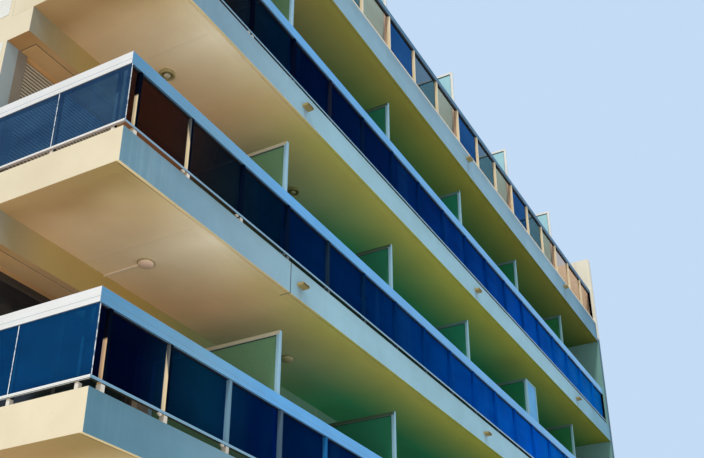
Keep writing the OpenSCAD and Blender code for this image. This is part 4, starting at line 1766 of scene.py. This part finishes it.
def makeCoping():
    low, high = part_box("parapet_coping")
    fold, cover, proud = (copingValues[name] for name in ("fold", "cover", "coverThick"))
    drop, lip = copingValues["foldFoot"]
    foot, foldTop = high.z - drop - lip, low.z + copingValues["foldTop"]
    overhang = cadHigh.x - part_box("gable_wall_right")[1].x
    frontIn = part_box("roof_parapets")[0].y + copingValues["parapet"] + overhang
    rearIn = high.y - copingValues["parapet"] - 2 * overhang
    gableIn = -low.x - copingValues["gable"] - 2 * overhang
    shape = bmesh.new()

    def addSheet(x0, y0, x1, y1):
        # A flat sheet over a rectangle, with turned-down edges
        addBox(shape, (x0, y0, foldTop), (x1, y1, high.z - proud))
        addBox(shape, (x0, y0, foot), (x1, y0 + fold, foldTop))
        addBox(shape, (x0, y1 - fold, foot), (x1, y1, foldTop))
        addBox(shape, (x0, y0 + fold, foot), (x0 + fold, y1 - fold, foldTop))
        addBox(shape, (x1 - fold, y0 + fold, foot), (x1, y1 - fold, foldTop))

    addSheet(low.x, low.y, high.x, frontIn)
    addSheet(low.x, rearIn, high.x, high.y)
    for x0, x1 in ((low.x, -gableIn), (gableIn, high.x)):
        addSheet(x0, frontIn + hair, x1, rearIn - hair)
    count = int((high.x - low.x) / copingValues["length"])
    for index in range(1, count):
        x = low.x + index * (high.x - low.x) / count
        for y0, y1 in ((low.y, frontIn), (rearIn, high.y)):
            addBox(shape, (x - cover / 2, y0, high.z - proud), (x + cover / 2, y1, high.z))
    dress("coping", toMesh(shape, 0.0012, 1), copingMetal, "coping_metal", "parapet_coping")


makeCoping()

# Loose gravel on the roof, inside a bare strip along the parapets
gravelValues = {
    "strip": 0.3,
    "above": 0.006,  # the pebbles' middles over the slab
    "density": 55.0,
    "smallest": 0.014,
    "largest": 0.032,
    "seed": 7,
}


def makeRoofGravel():
    low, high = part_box("roof_slab")
    strip, wall = gravelValues["strip"], copingValues["parapet"]
    x0, x1 = low.x + strip, high.x - strip
    y0, y1 = low.y + wall + strip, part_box("rear_wall_1")[1].y - wall - strip
    z = high.z + gravelValues["above"]
    shape = bmesh.new()
    shape.faces.new([shape.verts.new((x, y, z)) for x, y in ((x0, y0), (x1, y0), (x1, y1), (x0, y1))])
    values = {name.capitalize(): gravelValues[name] for name in ("density", "smallest", "largest", "seed")}
    mesh = runTree(gravelTree, toMesh(shape), {**values, "Finish": gravelPaint})
    dress("roofPebbles", mesh, gravelPaint, "roof_screed")


makeRoofGravel()
print("coping and roof made")

# Finishes of the frame's own nodes
nodeFinishes = {
    soffitPaint: [f"floor_slab_{level}" for level in levels],
    screedPaint: ["ground_slab"],
    gravelPaint: ["roof_slab"],
    creamWall: ["roof_parapets", "gable_wall_left", "rear_wall_ground"]
    + [f"rear_wall_{level}" for level in levels],
    lintelPaint: ["front_lintels"],
    beamPaint: ["front_beams"],
    pierPaint: ["front_piers"],
    endWallPaint: ["gable_wall_right"],
    whitePaint: ["gable_panels"],
}
for material, nodes in nodeFinishes.items():
    for node in nodes:
        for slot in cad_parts[node].material_slots:
            slot.material = material

# Stage: a pale floor, a pale backdrop in the world and soft light from the left
stageValues = {
    "floorSize": 160.0,
    "floorZ": -0.003,
    "floor": colour(226, 227, 228),
    "floorPatch": colour(210, 212, 214),
    "backdrop": colour(196, 219, 245),
    "skyLight": (0.97, 0.985, 1.0, 1.0),
    "skyStrength": 0.62,
    "keyHeight": 50.0,  # degrees above the ground
    "keyAhead": 12.0,  # degrees in front of the left side
    "keyStrength": 1.7,
    "keyColour": (1.0, 0.97, 0.92),
    "keyAngle": 6.0,
    "fillAt": (-16.3, -11.0, 0.05),
    "fillSize": 14.0,
    "fillPower": 800.0,
    "fillColour": (1.0, 0.94, 0.86),
}


def makeStage():
    half, z = stageValues["floorSize"] / 2, stageValues["floorZ"]
    mesh = bpy.data.meshes.new("floor")
    corners = [(x * half, y * half, z) for x, y in ((-1, -1), (1, -1), (1, 1), (-1, 1))]
    mesh.from_pydata(corners, [], [(0, 1, 2, 3)])
    floor = newObject("floor", mesh)
    material, tree, shader = newMaterial("stage floor", 0.9)
    soft = mapped(tree, noise(tree, objectPlace(tree), 0.3, 2.0), 0, 1, 0, 0.1)
    tree.links.new(mixed(tree, soft, stageValues["floor"], stageValues["floorPatch"]), shader["Base Color"])
    mesh.materials.append(material)


def makeWorld():
    world = bpy.data.worlds.new("studio")
    scene.world = world
    world.use_nodes = True
    tree = world.node_tree
    tree.nodes.clear()
    rays = addNode(tree, "ShaderNodeLightPath").outputs
    seen = maths(tree, "MAXIMUM", rays["Is Camera Ray"], rays["Is Glossy Ray"])
    seen = maths(tree, "MAXIMUM", seen, rays["Is Transmission Ray"])
    light = {"Color": stageValues["skyLight"], "Strength": stageValues["skyStrength"]}
    lighting = addNode(tree, "ShaderNodeBackground", light).outputs[0]
    backdrop = {"Color": stageValues["backdrop"], "Strength": 1.0}
    shown = addNode(tree, "ShaderNodeBackground", backdrop).outputs[0]
    blend = addNode(tree, "ShaderNodeMixShader", {0: seen, 1: lighting, 2: shown}).outputs[0]
    addNode(tree, "ShaderNodeOutputWorld", {"Surface": blend})


def makeLamp(name, kind, power, tone):
    light = bpy.data.lights.new(name, kind)
    light.energy, light.color = power, tone
    return newObject(name, light)


def makeLight():
    key = makeLamp("key", "SUN", stageValues["keyStrength"], stageValues["keyColour"])
    key.data.angle = math.radians(stageValues["keyAngle"])
    height, ahead = (math.radians(stageValues[name]) for name in ("keyHeight", "keyAhead"))
    level = math.cos(height)
    shine = Vector((level * math.cos(ahead), level * math.sin(ahead), -math.sin(height)))
    key.rotation_euler = shine.to_track_quat("-Z", "Y").to_euler()
    fill = makeLamp("fill", "AREA", stageValues["fillPower"], stageValues["fillColour"])
    fill.data.shape, fill.data.size = "SQUARE", stageValues["fillSize"]
    fill.location = stageValues["fillAt"]
    fill.rotation_euler = (math.pi, 0, 0)  # shines upwards
    fill.visible_glossy = False


makeStage()
makeWorld()
makeLight()
scene.view_settings.view_transform = "Standard"
print("stage and light made")
